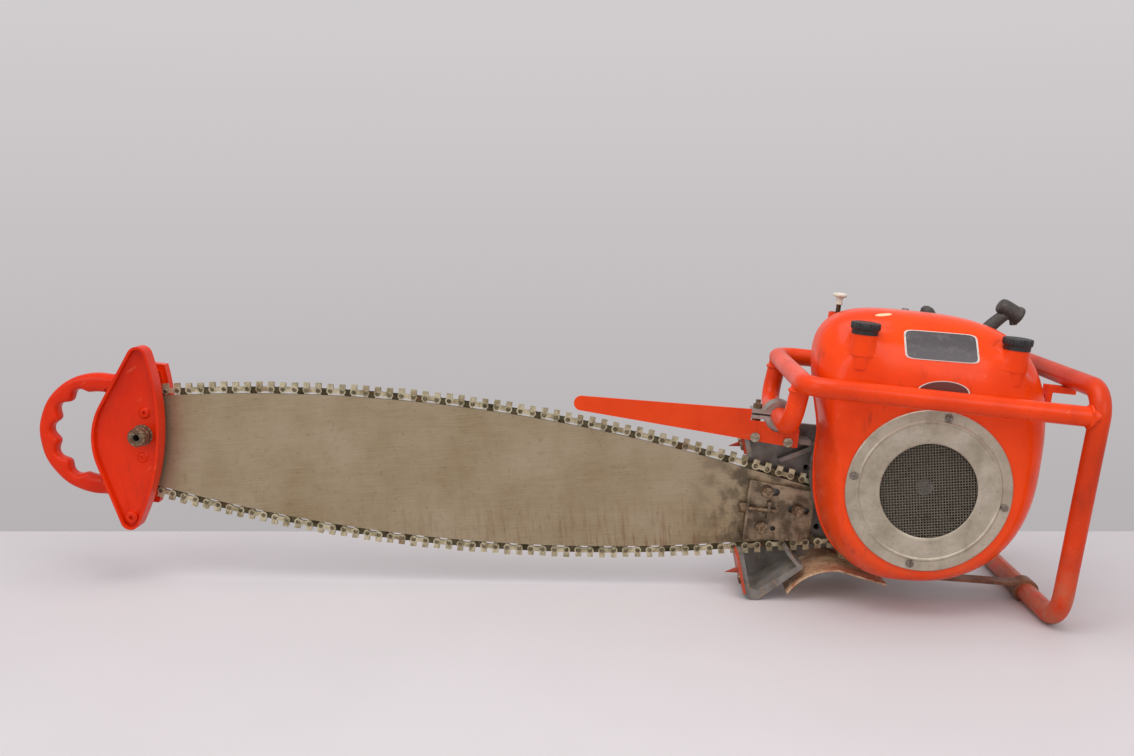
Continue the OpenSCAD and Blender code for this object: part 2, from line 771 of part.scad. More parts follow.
web_bolts_at = [[226, 90], [226, 186], [250, 108], [250, 150]];

module bumper_plates() {
    color("firebrick") stance() {
        difference() {
            wing(low_wing, 50, -bumper_t - seat, -seat, -bracket_near - 2, bracket_near + 2);
            wing_hole(low_wing, -36, -30);
            wing_hole(low_wing, -36, 30);
            chain_gap();
        }
        difference() {
            wing(top_wing, 22, -bumper_t - seat, -seat, -17, bracket_near + 2);
            wing_hole(top_wing, -11, -12);
            wing_hole(top_wing, -11, 12);
            chain_gap();
        }
        spike(low_wing, -34);
        spike(top_wing, -11);
    }
}

module wing_hole(p, down, y) {
    translate([p.x, y, p.y]) rotate([0, -wing_lean, 0]) translate([-10, 0, down]) rotate([0, 90, 0])
        cylinder(h = 30, r = 3.1);
}

module spike(p, down) {
    translate([p.x, 0, p.y]) rotate([0, -wing_lean, 0]) translate([-bumper_t - seat, 0, down])
        rotate([0, -90, 0]) cylinder(h = spike_l, r1 = 4, r2 = 0.4, $fn = 24);
}

module bumper_bolts() {
    color("darkgray") stance() for (q = [[low_wing, -36, -30], [top_wing, -11, -12], [top_wing, -11, 12]])
        translate([q[0].x, q[2], q[0].y]) rotate([0, -wing_lean, 0]) translate([-bumper_t - seat, 0, q[1]])
            rotate([0, 90, 0]) {
                translate([0, 0, -3]) cylinder(h = 3, r = 6, $fn = 32);
                cylinder(h = bumper_t + seat - 0.02, r = 3);
            }
}

// Flanged plate that holds the bar's tail, with a slot at each bolt
plate_y = -bar_t / 2 - bar_slot;

module clamp_plate() {
    t = clamp_plate_t;
    color("tan") stance() difference() {
        union() {
            slab(plate_y - t, plate_y) polygon([[152, 86], [232, 90], [232, 118], [238, 119], [238, 159], [152, 166]]);
            slab(plate_y - 12, plate_y) polygon([[152, 86], [155, 86], [155, 166], [152, 166]]);
            slab(plate_y - 8, plate_y) polygon([[152, 164], [160, 163.4], [238, 157], [238, 159], [152, 166]]);
            slab(plate_y - 12, plate_y) polygon([[179.5, 117], [183, 117], [183, 140], [179.5, 140]]);
        }
        slab(-30, 0) {
            long_slot(bar_bolts_at[0], bar_bolt_d / 2 + 0.2, 12);
            long_slot(bar_bolts_at[1] - [8, 0], bar_bolt_d / 2 + 0.2, 18);
            long_slot(stud_at, bar_bolt_d / 2 + 0.2, 2);
            translate([190.5, 103.5]) circle(3.4);
        }
        translate([140, tension_y, tension_z]) rotate([0, 90, 0]) cylinder(h = 60, r = tension_d / 2 + fit);
    }
}

tension_y = plate_y - clamp_plate_t - 4.6;
tension_z = 128;

module bar_bolts() {
    seat_y = plate_y - clamp_plate_t - seat;
    color("darkgray") stance() {
        for (p = bar_bolts_at) translate([p.x, 0, p.y]) {
            across(bar_bolt_d / 2, seat_y - 2, web_y + bracket_wall);
            translate([0, seat_y - 2, 0]) hex_head(13.5, 7);
            across(8.2, seat_y - 2, seat_y);
        }
        translate([stud_at.x, 0, stud_at.y]) {
            across(bar_bolt_d / 2, seat_y, web_y + bracket_wall);
            across(8, seat_y - 6, seat_y);
        }
    }
}

module tension_screw() {
    color("darkgray") stance() translate([0, tension_y, tension_z]) rotate([0, 90, 0]) {
        translate([0, 0, 143]) cylinder(h = 9 - seat, r = 6.4, $fn = 6);
        translate([0, 0, 151]) cylinder(h = 41, r = tension_d / 2);
    }
}

// Flat tapered plate over the top run of the chain
guard_y = -18.3;
guard_screws_at = [[149.9, 225.1], [192.1, 223]];

module hand_guard() {
    tip = [-75, 244.5];
    color("orangered") stance() difference() {
        slab(guard_y - hand_guard_t, guard_y) {
            translate(tip) circle(9.5);
            polygon([tip + [0, 9.5], tip + [-1, -9.4], [205, 216.5], [205, 240], [190, 262]]);
        }
        translate([low_x, 0, low_z]) across(collar_r + 0.4, -60, 0);
        translate([low_x - 37, -60, low_z - 8]) cube([38, 60, 60]);
        for (p = guard_screws_at) translate([p.x, 0, p.y]) across(3.2, -60, 0);
    }
}

module guard_screws() {
    color("silver") stance() for (p = guard_screws_at) translate([p.x, 0, p.y]) {
        across(3.1, guard_y - hand_guard_t, guard_y);
        translate([0, guard_y - hand_guard_t, 0]) slotted_head(6, 3.4);
    }
}

// The cowl is lofted from its widest outline to the round front. Points are x, z. Each quarter of
// the outline, from the upper rear one round to the lower rear one, has its own fullness.
function cowl_edge(a, grow) =
    let (n = corner_powers[floor(a / 90)], reach = cos(a) > 0 ? cowl_behind : cowl_ahead)
    [cowl_x + (reach + grow) * sign(cos(a)) * pow(abs(cos(a)), 2 / n),
        cowl_z + (cowl_b + grow) * sign(sin(a)) * pow(abs(sin(a)), 2 / n)];
function drum_edge(a, grow) = [crank_x + (drum_r + grow) * cos(a), crank_z + (drum_r + grow) * sin(a)];
function cowl_ring(t, back, grow) =
    [for (i = [0:round_steps - 1])
        let (a = i * 360 / round_steps, wide = cowl_edge(a, grow), front = drum_edge(a, grow),
            p = front + (wide - front) * cos(max(t, 0)))
        [p.x, t < 0 ? back : -cowl_turn - (cowl_front - cowl_turn + grow) * sin(t), p.y]];

module cowl_outline(grow) {
    polygon([for (i = [0:round_steps - 1]) cowl_edge(i * 360 / round_steps, grow)]);
}

module cowl_form(back, grow) {
    n = round_steps;
    rings = turn_steps + 2;
    points = [each cowl_ring(-1, back, grow),
        for (k = [0:turn_steps]) each cowl_ring(k * 90 / turn_steps, back, grow)];
    polyhedron(points, [
        [for (i = [0:n - 1]) i],
        for (k = [0:rings - 2], i = [0:n - 1]) let (j = (i + 1) % n, a = k * n + i, b = k * n + j)
            each [[b, a, b + n], [b + n, a, a + n]],
        [for (i = [0:n - 1]) rings * n - 1 - i],
    ]);
}

module cowl() {
    inner_z = floor_z;
    color("orangered") stance() difference() {
        union() {
            cowl_form(-cowl_back, 0);
            intersection() {
                slab(-cowl_back - 7, -cowl_back - 1) cowl_outline(2.4);
                translate([0, -60, 0]) cube([700, 80, 235]);
            }
        }
        intersection() {
            cowl_form(-cowl_back + over, -cowl_wall);
            translate([0, -150, 0]) cube([700, 200, inner_z]);
        }
        intersection() {
            cowl_form(-cowl_back - cowl_wall, -cowl_wall);
            translate([0, -150, inner_z + cowl_wall]) cube([700, 200, 300]);
        }
        crank_place() across(ring_hole_r + 18, -cowl_front - 3, -cowl_front + 8);
        for (x = [fuel_x, oil_x]) translate([x, cap_y, 300]) cylinder(h = 120, r = neck_r + 0.02);
        for (a = ring_screw_angles) crank_place() rotate([0, a, 0]) translate([ring_screw_r, 0, 0])
            across(2.3, -cowl_front - 3, -cowl_front + 8);
    }
}

ring_screw_r = 91.5;
ring_screw_angles = [-84, 6, 96, 186];

// Spun aluminium ring round the air intake, with a raised bead
module intake_ring() {
    front = cowl_front + ring_t;
    color("silver") stance() crank_place() rotate([90, 0, 0]) difference() {
        rotate_extrude($fn = 128) polygon([[ring_hole_r, cowl_front + 0.02], [ring_r, cowl_front + 0.02],
            [ring_r, front - 0.8], [ring_r - 1, front], [87, front], [85.5, front + 1.1], [84, front + 1.1],
            [82.5, front], [ring_hole_r + 3, front], [ring_hole_r + 1, front - 0.5], [ring_hole_r, front - 1.2]]);
        for (a = ring_screw_angles) rotate(-a) translate([ring_screw_r, 0, 0])
            cylinder(h = 200, r = 2.3);
    }
}

module ring_screws() {
    front = cowl_front + ring_t;
    color("gray") stance() crank_place() for (a = ring_screw_angles)
        rotate([0, a, 0]) translate([ring_screw_r, 0, 0]) {
            across(2.2, -front, -cowl_front + 4);
            translate([0, -front, 0]) slotted_head(4.6, 2.4);
        }
}

// Flat mesh behind the ring: two layers of wires in a rim
module intake_mesh() {
    edge = ring_hole_r + 8;
    wire = 1.6;
    half = ring_hole_r + 2;
    color("darkslategray") stance() crank_place() rotate([90, 0, 0]) translate([0, 0, cowl_front - 3.2]) {
        difference() {
            cylinder(h = 3.2, r = edge);
            translate([0, 0, -1]) cylinder(h = 6, r = half);
        }
        for (layer = [0, 1]) rotate(20 + 90 * layer) translate([0, 0, 1.6 * layer])
            for (u = [-half + 3:mesh_pitch:half - 3]) let (c = sqrt(pow(half + 1, 2) - u * u))
                translate([-c, u, 0]) cube([2 * c, wire, wire]);
    }
}

// Filler necks, one for each tank, and their ribbed caps
module filler_neck(x) {
    translate([x, cap_y, 0]) difference() {
        translate([0, 0, tank_top]) cylinder(h = neck_top - tank_top, r = neck_r);
        translate([0, 0, tank_top - 1]) cylinder(h = neck_top - tank_top + 2, r = neck_bore_r);
    }
}

module filler_necks() {
    color("orangered") stance() {
        filler_neck(fuel_x);
        filler_neck(oil_x);
    }
}

module filler_cap(x) {
    ribs = 12;
    rib_r = 1.5;
    translate([x, cap_y, neck_top - cap_h + 4.3]) difference() {
        union() {
            cylinder(h = cap_h, r = cap_r - 0.8);
            translate([0, 0, cap_h - 9]) cylinder(h = 9, r = cap_r);
            for (k = [0:ribs - 1]) rotate((k + 0.5) * 360 / ribs) translate([cap_r - 0.6, 0, cap_h - 8.5])
                cylinder(h = 8, r = rib_r, $fn = 16);
        }
        translate([0, 0, -1]) cylinder(h = cap_h - 3, r = neck_r + 0.3);
    }
}

module fuel_cap() {
    color("dimgray") stance() filler_cap(fuel_x);
}

module oil_cap() {
    color("dimgray") stance() filler_cap(oil_x);
}

// Fan back plate between the cowl and the crankcase
plate_back = case_front;
plate_front = -cowl_back + 0.3;
plate_bolts = [175, 214];
plate_bolt_r = back_plate_r - 14;

module fan_back_plate() {
    color("lightgray") stance() difference() {
        crank_place() across(back_plate_r, plate_front, plate_back);
        crank_place() across(shaft_r + 12, plate_front - 1, plate_back + 1);
        cylinder_place() cylinder(h = 300, r = fin_r + 1);
        for (a = plate_bolts) crank_place() rotate([0, -a, 0]) translate([plate_bolt_r, 0, 0])
            across(3.2, plate_front - 1, plate_back + 1);
    }
}

module cowl_bolts() {
    color("gray") stance() crank_place() for (a = plate_bolts) rotate([0, -a, 0])
        translate([plate_bolt_r, 0, 0]) {
            across(3.1, plate_front, plate_back + 8);
            translate([0, plate_front, 0]) hex_head(10, 4.5);
            translate([0, plate_back + 6, 0]) hex_head(10, 6);
        }
}

// Hand oil pump behind the tank: a barrel, a sprung plunger and its knob
module oil_pump_body() {
    low = 300;
    color("orangered") stance() difference() {
        union() {
            translate([pump_x, pump_y, low]) cylinder(h = pump_top - low, r = pump_r);
            translate([pump_x - 5, -cowl_back + 0.2, low + 8]) cube([10, pump_y + cowl_back - 2, 60]);
        }
        translate([pump_x, pump_y, low + 8]) cylinder(h = 200, r = 8.5);
        translate([pump_x, pump_y, pump_top - 3]) cylinder(h = 4, r = 9.6);
    }
}

module oil_plunger() {
    color("linen") stance() translate([pump_x, pump_y, 0]) {
        translate([0, 0, pump_top - 40]) cylinder(h = 48 + pump_travel, r = 3);
        translate([0, 0, pump_top - 38]) cylinder(h = 5, r = 8.4);
        translate([0, 0, pump_top + pump_travel]) rotate_extrude() polygon([[0, 0], [4, 0], [5.2, 2], [5.8, 7],
            [knob_r, 9.5], [knob_r, 11], [7.4, 12.4], [0, 13.4]]);
    }
}

// Return spring, one open coil under the plunger's piston
module oil_spring() {
    turns = 7;
    low = 308.4;
    high = pump_top - 38.6;
    wire = 0.8;
    coil_r = 6.4;
    ring = 10;
    n = turns * ring;
    color("silver") stance() translate([pump_x, pump_y, 0]) polyhedron(
        [for (i = [0:n], k = [0:5]) let (a = i * 360 / ring, b = k * 60)
            [(coil_r + wire * cos(b)) * cos(a), (coil_r + wire * cos(b)) * sin(a),
                low + wire + (high - low - 2 * wire) * i / n + wire * sin(b)]],
        [[for (k = [0:5]) 5 - k], [for (k = [0:5]) n * 6 + k],
            for (i = [0:n - 1], k = [0:5]) let (a = i * 6 + k, b = i * 6 + (k + 1) % 6)
                each [[a + 6, a, b + 6], [b + 6, a, b]]]);
}

// Crankcase, with a neck for the cylinder
module crankcase() {
    color("gray") stance() difference() {
        union() {
            crank_place() across(case_r, case_front, case_back);
            cylinder_place() cylinder(h = case_neck, r = neck_flange_r);
        }
        crank_place() across(web_r + 2, cyl_y - 18, cyl_y + 18);
        crank_place() across(bearing_r + seat / 2, cyl_y - 30, cyl_y + 30);
        crank_place() across(shaft_r + 1.5, case_front - 1, case_back + 1);
        cylinder_place() cylinder(h = case_neck + 1, r = bore_d / 2 + 1.2);
    }
}

bearing_r = 21;

// Bearings of the crank, the sprocket shaft and the gear
module bearing(y0, outer, inner) {
    difference() {
        across(outer, y0, y0 + 11);
        across(inner + fit, y0 - 1, y0 + 12);
        for (side = [0, 1]) translate([0, y0 + 11 * side, 0]) rotate([-90, 0, 0])
            rotate_extrude() translate([(outer + inner) / 2, 0]) circle(2.4, $fn = 24);
    }
}

module bearings() {
    color("lightsteelblue") stance() {
        crank_place() bearing(cyl_y - 29.5, bearing_r, shaft_r);
        crank_place() bearing(cyl_y + 18.5, bearing_r, shaft_r);
        sprocket_place() bearing(20, 19, thin_r);
        sprocket_place() bearing(44, 19, thin_r);
    }
}

module finned_barrel() {
    fins = 9;
    fin_t = 2.4;
    fin_low = case_neck + 14;
    pitch = (deck - fin_low - fin_t) / (fins - 1);
    color("gray") stance() cylinder_place() difference() {
        union() {
            translate([0, 0, case_neck]) cylinder(h = deck - case_neck, r = bore_d / 2 + 5);
            translate([0, 0, case_neck]) cylinder(h = 7, r = neck_flange_r);
            for (k = [0:fins - 1]) translate([0, 0, fin_low + k * pitch]) cylinder(h = fin_t, r = fin_r);
        }
        translate([0, 0, case_neck - 1]) cylinder(h = deck, r = bore_d / 2);
    }
}

module cylinder_head() {
    fins = 4;
    color("silver") stance() cylinder_place() difference() {
        translate([0, 0, deck]) {
            cylinder(h = 20, r = bore_d / 2 + 4);
            for (k = [0:fins - 1]) translate([0, 0, k * 6.6]) cylinder(h = 2.6, r = fin_r);
        }
        translate([0, 0, deck + 4]) cylinder(h = 60, r = 7 + fit);
        translate([0, 0, deck + 20]) cylinder(h = 10, r = 13);
        translate([0, 0, deck - 1]) cylinder(h = 6, r = 18);
    }
}

module spark_plug() {
    base = deck + 20;
    color("white") stance() cylinder_place() {
        translate([0, 0, deck + 3]) cylinder(h = base - deck - 2, r = 7);
        translate([0, 0, base + 0.1]) cylinder(h = 9, r = 11.5, $fn = 6);
        translate([0, 0, base + 9]) cylinder(h = 6, r = 8);
        translate([0, 0, base + 15]) cylinder(h = 26, r1 = 6, r2 = 4.6);
    }
}

// Two-piece elbow cap over the plug
module plug_cap() {
    low = deck + 48;
    color("dimgray") stance() cylinder_place() difference() {
        translate([0, 0, low]) rotate([0, 12, 0]) {
            cylinder(h = 44, r = 9);
            translate([0, 0, 26]) cylinder(h = 12, r = 10.2);
            translate([0, 0, 41]) rotate([0, 20, 0]) cylinder(h = 20, r = 10.5);
        }
        translate([0, 0, low - 1]) cylinder(h = 15, r = 6.6);
    }
}

// Upright slide carburettor beside the barrel, with its cable boot
port = 84;
carb_out = 62;
intake_len = 54;

module carb_place() {
    translate([crank_x + port * sin(cylinder_lean), cyl_y, crank_z + port * cos(cylinder_lean)])
        rotate([0, cylinder_lean - 90, 0]) children();
}

module carburettor() {
    color("darkgray") stance() difference() {
        union() {
            carb_place() {
                translate([0, 0, fin_r + 0.6]) cylinder(h = intake_len, r = 13);
                translate([-16, -16, fin_r + 0.6]) cube([32, 32, 4]);
            }
            carb_top() translate([0, 0, -26]) cylinder(h = 92, r = 14);
            carb_top() translate([0, 0, 60]) cylinder(h = 14, r = 15.5);
            carb_top() translate([0, 0, 74]) cylinder(h = 30, r1 = 12, r2 = 4);
        }
        carb_place() translate([0, 0, fin_r]) cylinder(h = intake_len + 1, r = 9);
    }
}

module carb_top() {
    p = [crank_x + port * sin(cylinder_lean) - carb_out * cos(cylinder_lean),
        crank_z + port * cos(cylinder_lean) + carb_out * sin(cylinder_lean)];
    translate([p.x, cyl_y, p.y]) children();
}

module air_filter() {
    start = fin_r + 0.6 + intake_len;
    color("dimgray") stance() carb_place() difference() {
        union() {
            translate([0, 0, start]) cylinder(h = 4, r = 26);
            translate([0, 0, start + 4]) cylinder(h = 22, r = 23);
            translate([0, 0, start + 26]) cylinder(h = 3, r = 26);
        }
        translate([0, 0, start - 1]) cylinder(h = 20, r = 9);
    }
}

// Throttle lever under the far side rail
lever_x = 410;
lever_len = 76;
lever_drop = lever_len * sin(lever_lift) + 2.3;

module throttle_perch() {
    y0 = rail_y - 9;
    color("gray") stance() difference() {
        union() {
            translate([lever_x, 0, 0]) rail_band(12, 3.5);
            translate([lever_x - 9, y0, rail_z - tube_r - lever_drop - 6])
                cube([18, 18, lever_drop + 6]);
        }
        translate([lever_x - 20, 0, 0]) rail_hole();
        translate([lever_x - 20, rail_y + tube_r, rail_z - 40]) cube([40, 20, 80]);
        translate([lever_x - 10, rail_y - 3.4, rail_z - tube_r - lever_drop - 10])
            cube([20, 6.8, lever_drop + 7]);
        translate([lever_x, 0, rail_z - tube_r - lever_drop]) across(2.5 + fit, y0 - 1, y0 + 20);
    }
}

module rail_band(w, t) {
    translate([-w / 2, rail_y, rail_z]) rotate([0, 90, 0]) cylinder(h = w, r = tube_r + t);
}

module rail_hole() {
    translate([-10, rail_y, rail_z]) rotate([0, 90, 0]) cylinder(h = 60, r = tube_r + seat);
}

module throttle_lever() {
    color("silver") stance() {
        translate([lever_x, 0, rail_z - tube_r - lever_drop]) {
            across(5.5, rail_y - 3, rail_y + 3);
            across(2.5, rail_y - 8.6, rail_y + 8.6);
            slab(rail_y - 3, rail_y + 3) polygon([[0, 5.4], [lever_len - 6, -2], [lever_len, -5],
                [lever_len - 2, -9], [lever_len - 8, -8], [0, -5.4]]);
        }
    }
}

// Exhaust: a box silencer under the crankcase, and a curved sheet that turns the gas down
muffler_x = sprocket_x - 5;

module muffler() {
    color("saddlebrown") stance() difference() {
        translate([muffler_x, 0, 0]) slab(7, case_back - 4) polygon([[0, 70.2], [21, 66.2], [52, 60.8], [60, 70],
            [60, crank_z - case_r + 6], [38, crank_z - case_r + 6], [34, 92], [0, 84]]);
        crank_place() across(case_r + seat, case_front - 1, case_back + 1);
    }
}

// A sheet bent round a centre in the saw's plane, between two angles
module bent_sheet(r, t, a0, a1, y0, y1) {
    translate([0, y1, 0]) rotate([90, 0, 0]) rotate(a0) rotate_extrude(angle = a1 - a0, $fn = 128)
        translate([r - t, 0]) square([t, y1 - y0]);
}

module exhaust_deflector() {
    sheet = 2;
    r = 73;
    color("peru") stance() translate([muffler_x - 9, 0, -2]) {
        bent_sheet(r, sheet, 90, 151, -50, 44);
        slab(-50, 44) polygon([[0, r - sheet], [0, r], [30, r - 6], [60, r - 11.2], [60, r - 13.2], [30, r - 8]]);
    }
}

// Gearcase behind the bracket, its cover and the clutch's own cover
case_big = gear_module * gear_teeth / 2 + 12;
case_small = 44;

module gearcase_outline(shrink) {
    pear([sprocket_x, axis_z], case_big - shrink, [crank_x, crank_z], case_small - shrink);
}

module gearcase() {
    wall = 4;
    color("gray") stance() difference() {
        union() {
            slab(case_back, cover_y) gearcase_outline(0);
            for (p = web_bolts_at) translate([p.x, 0, p.y]) across(8, web_y + bracket_wall, case_back + 1);
            sprocket_place() across(22, web_y + 8, case_back + 1);
        }
        slab(case_back + wall, cover_y + 1) gearcase_outline(wall);
        for (p = web_bolts_at) translate([p.x, 0, p.y]) across(3.4, 0, case_back - 4);
        sprocket_place() across(19 + seat / 2, 19, case_back + 1);
        sprocket_place() across(thin_r + 1, 0, case_back + 10);
        crank_place() across(shaft_r + 1.5, case_back - 1, case_back + 10);
    }
}

module gearcase_cover() {
    bolts = 7;
    color("darkgray") stance() {
        difference() {
            slab(cover_y, cover_y + cover_t) gearcase_outline(0);
            crank_place() across(17, cover_y - 1, cover_y + cover_t + 1);
        }
        for (k = [0:bolts - 1]) sprocket_place() rotate([0, -(110 + k * 34), 0])
            translate([case_big - 5, cover_y + cover_t + 3.5, 0]) hex_head(8, 3.5);
    }
}

clutch_r = 42;

module clutch_cover() {
    color("dimgray") stance() crank_place() difference() {
        across(clutch_r + 4, cover_y + cover_t, clutch_end);
        across(clutch_r + 1.5, cover_y, clutch_end - 2.5);
        across(thin_r + 2, 80, 130);
        for (k = [0:7]) rotate([0, k * 45, 0]) translate([27, 0, 0]) across(5, clutch_end - 8, clutch_end + 1);
    }
}

// The crank and all that turns with it
module crankshaft() {
    color("lightsteelblue") stance() crank_place() {
        across(shaft_r, -92, cyl_y - 7);
        across(shaft_r, cyl_y + 7, gear_y - 2);
        across(thin_r, gear_y - 2, 123);
        across(web_r, cyl_y - 16, cyl_y - 6.5);
        across(web_r, cyl_y + 6.5, cyl_y + 16);
        rotate([0, cylinder_lean, 0]) translate([0, 0, stroke / 2]) across(pin_r, cyl_y - 7, cyl_y + 7);
    }
}

module flywheel() {
    blades = 16;
    rim_y = -62;
    face_y = -96;
    color("darkslategray") stance() crank_place() difference() {
        union() {
            across(flywheel_r, rim_y - 5, rim_y);
            across(flywheel_r - 18, rim_y - 1, rim_y + 22);
            across(24, face_y + 8, rim_y);
            for (k = [0:blades - 1]) rotate([0, k * 360 / blades, 0])
                translate([40, face_y, -1.2]) rotate([0, 14, 0]) cube([flywheel_r - 43, rim_y - 2 - face_y, 2.4]);
        }
        across(flywheel_r - 24, rim_y + 1, rim_y + 30);
        across(shaft_r + 0.02, face_y - 1, rim_y + 30);
    }
}

module piston() {
    color("silver") stance() cylinder_place() difference() {
        translate([0, 0, deck - 47]) cylinder(h = 46, r = bore_d / 2 - 0.06);
        translate([0, 0, deck - 48]) cylinder(h = 38, r = bore_d / 2 - 5);
        for (k = [0, 1]) translate([0, 0, deck - 8 - 6 * k]) difference() {
            cylinder(h = 2, r = bore_d / 2 + 1);
            translate([0, 0, -1]) cylinder(h = 4, r = bore_d / 2 - 2);
        }
    }
}

module clutch_shoes() {
    shoe_r = clutch_r - 4.5;
    color("peru") stance() crank_place() difference() {
        across(shoe_r, 93, 108);
        across(thin_r + 0.02, 90, 110);
        across(20, 92, 97);
        for (k = [0:2]) rotate([0, k * 120, 0]) translate([14, 90, -1.5]) cube([40, 20, 3]);
    }
}

// Straight teeth cut with flank angles that leave working backlash
module toothed_wheel(teeth, m, y0, y1) {
    pr = m * teeth / 2;
    slot = 360 / teeth;
    // half the gap between two teeth, as a share of the pitch
    tip_share = 0.39;
    mid_share = 0.29;
    root_share = 0.2;
    difference() {
        across(pr + m, y0, y1);
        for (k = [0:teeth - 1]) rotate([0, k * slot, 0]) slab(y0 - 1, y1 + 1) polygon([
            (pr + m * 1.2) * [cos(slot * tip_share), sin(slot * tip_share)],
            pr * [cos(slot * mid_share), sin(slot * mid_share)],
            (pr - m * 1.2) * [cos(slot * root_share), sin(slot * root_share)],
            (pr - m * 1.2) * [cos(slot * root_share), -sin(slot * root_share)],
            pr * [cos(slot * mid_share), -sin(slot * mid_share)],
            (pr + m * 1.2) * [cos(slot * tip_share), -sin(slot * tip_share)],
        ]);
    }
}

module clutch_drum() {
    slot = 360 / pinion_teeth;
    color("slategray") stance() crank_place() difference() {
        union() {
            rotate([0, -(180 + crank_angle) - slot / 2, 0]) toothed_wheel(pinion_teeth, gear_module, gear_y, gear_y + gear_w);
            across(15.5, gear_y + gear_w, 91);
            across(clutch_r, 88, 110);
        }
        across(clutch_r - 3, 91, 111);
        across(thin_r + fit, gear_y - 1, 92);
    }
}

module driven_gear() {
    hole_r = 11;
    color("slategray") stance() sprocket_place() {
        difference() {
            rotate([0, -crank_angle, 0]) toothed_wheel(gear_teeth, gear_module, gear_y, gear_y + gear_w);
            for (k = [0:5]) rotate([0, k * 60, 0]) translate([38, 0, 0]) across(hole_r, gear_y - 1, gear_y + gear_w + 1);
            across(thin_r + 0.02, gear_y - 1, gear_y + gear_w + 1);
        }
    }
}

// Drive sprocket and the shaft that it shares with the driven gear
module drive_sprocket() {
    root_r = 10;
    tip = tooth_tip_r;
    color("darkgray") stance() sprocket_place() {
        across(thin_r, -6, gear_y + gear_w);
        across(tip - 3, -drive_half, drive_half);
        for (k = [0:sprocket_teeth - 1]) rotate([0, k * 360 / sprocket_teeth, 0])
            slab(-drive_half, drive_half) polygon([[root_r, -4], [tip, -1.6], [tip, 1.6], [root_r, 4]]);
    }
}

module starter_pulley() {
    color("silver") stance() crank_place() difference() {
        rotate([-90, 0, 0]) rotate_extrude() polygon([[thin_r + 0.02, 115], [27, 115], [27, 116.4], [23, 118],
            [23, 120], [27, 121.6], [27, 123], [thin_r + 0.02, 123]]);
        rotate([0, 30, 0]) translate([22, 114, -2]) cube([10, 10, 4]);
    }
}

rail_loop();
rear_hoop();
front_handle();
frame_clamp();
clamp_bolt();
skid_strap();
rear_stay();
bar_bracket();
bumper_plates();
bumper_bolts();
clamp_plate();
bar_bolts();
tension_screw();
hand_guard();
guard_screws();
guide_bar();
chain_cutter_links();
chain_raker_links();
chain_drive_links();
chain_rivets();
nose_guard();
nose_guard_back();
helper_handle();
nose_bolts();
cowl();
intake_ring();
intake_mesh();
ring_screws();
filler_necks();
fuel_cap();
oil_cap();
fan_back_plate();
cowl_bolts();
oil_pump_body();
oil_plunger();
oil_spring();
crankcase();
finned_barrel();
cylinder_head();
spark_plug();
plug_cap();
carburettor();
air_filter();
throttle_perch();
throttle_lever();
muffler();
exhaust_deflector();
gearcase();
gearcase_cover();
clutch_cover();
bearings();
crankshaft();
flywheel();
piston();
clutch_shoes();
clutch_drum();
driven_gear();
drive_sprocket();
starter_pulley();
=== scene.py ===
"""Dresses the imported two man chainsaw: finishes for its CAD nodes, finer pieces over some, and a pale studio."""

import math

import bmesh
import bpy
from bpy.props import FloatProperty, FloatVectorProperty, IntProperty, PointerProperty
from mathutils import Matrix, Vector
from mathutils.bvhtree import BVHTree


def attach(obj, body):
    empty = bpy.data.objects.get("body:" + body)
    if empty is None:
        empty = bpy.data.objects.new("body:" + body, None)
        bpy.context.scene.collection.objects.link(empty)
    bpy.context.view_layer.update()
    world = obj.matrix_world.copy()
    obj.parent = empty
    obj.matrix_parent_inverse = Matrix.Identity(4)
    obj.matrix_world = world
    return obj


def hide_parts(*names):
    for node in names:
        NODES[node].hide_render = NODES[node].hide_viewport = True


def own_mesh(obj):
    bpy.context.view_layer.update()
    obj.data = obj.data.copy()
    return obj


bl_info = {
    "name": "Two man chainsaw",
    "version": (1, 0, 0),
    "blender": (4, 5, 0),
    "location": "3D Viewport > Sidebar > Saw",
    "description": "Dresses the two man chainsaw and sets its studio",
    "category": "Object",
}

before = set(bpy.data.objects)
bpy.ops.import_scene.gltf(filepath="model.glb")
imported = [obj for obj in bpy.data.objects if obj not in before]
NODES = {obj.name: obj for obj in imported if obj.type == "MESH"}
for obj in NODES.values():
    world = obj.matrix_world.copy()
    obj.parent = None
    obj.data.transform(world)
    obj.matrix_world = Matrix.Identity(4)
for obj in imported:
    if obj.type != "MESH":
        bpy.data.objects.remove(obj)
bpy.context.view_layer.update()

# The saw's own axes, as in the part's source: X to the rear and Z up, in millimetres. TILT and LIFT stand the saw on
# the ground, MIDDLE comes to X = 0, and CRANK is the crankshaft's axis in X and Z
TILT = math.radians(5.75647)
LIFT = -1.01722
MIDDLE = -103.76
CRANK = (350.506, 199.754)
# Corners closer than this, in metres, are one
MERGE = 1e-6
# Frame tubes and the beads of weld where they meet
RAIL_JOINT, HANDLE_JOINT = (509.3, 138.0, 314.0), (184.7, 100.0, 302.4)
BEAD_RADIUS, BEAD_WOBBLE, BEAD_RIPPLES, BEAD_STEPS = 12.1, 0.3, 12, 48
FRAME_SIDE = 149.9
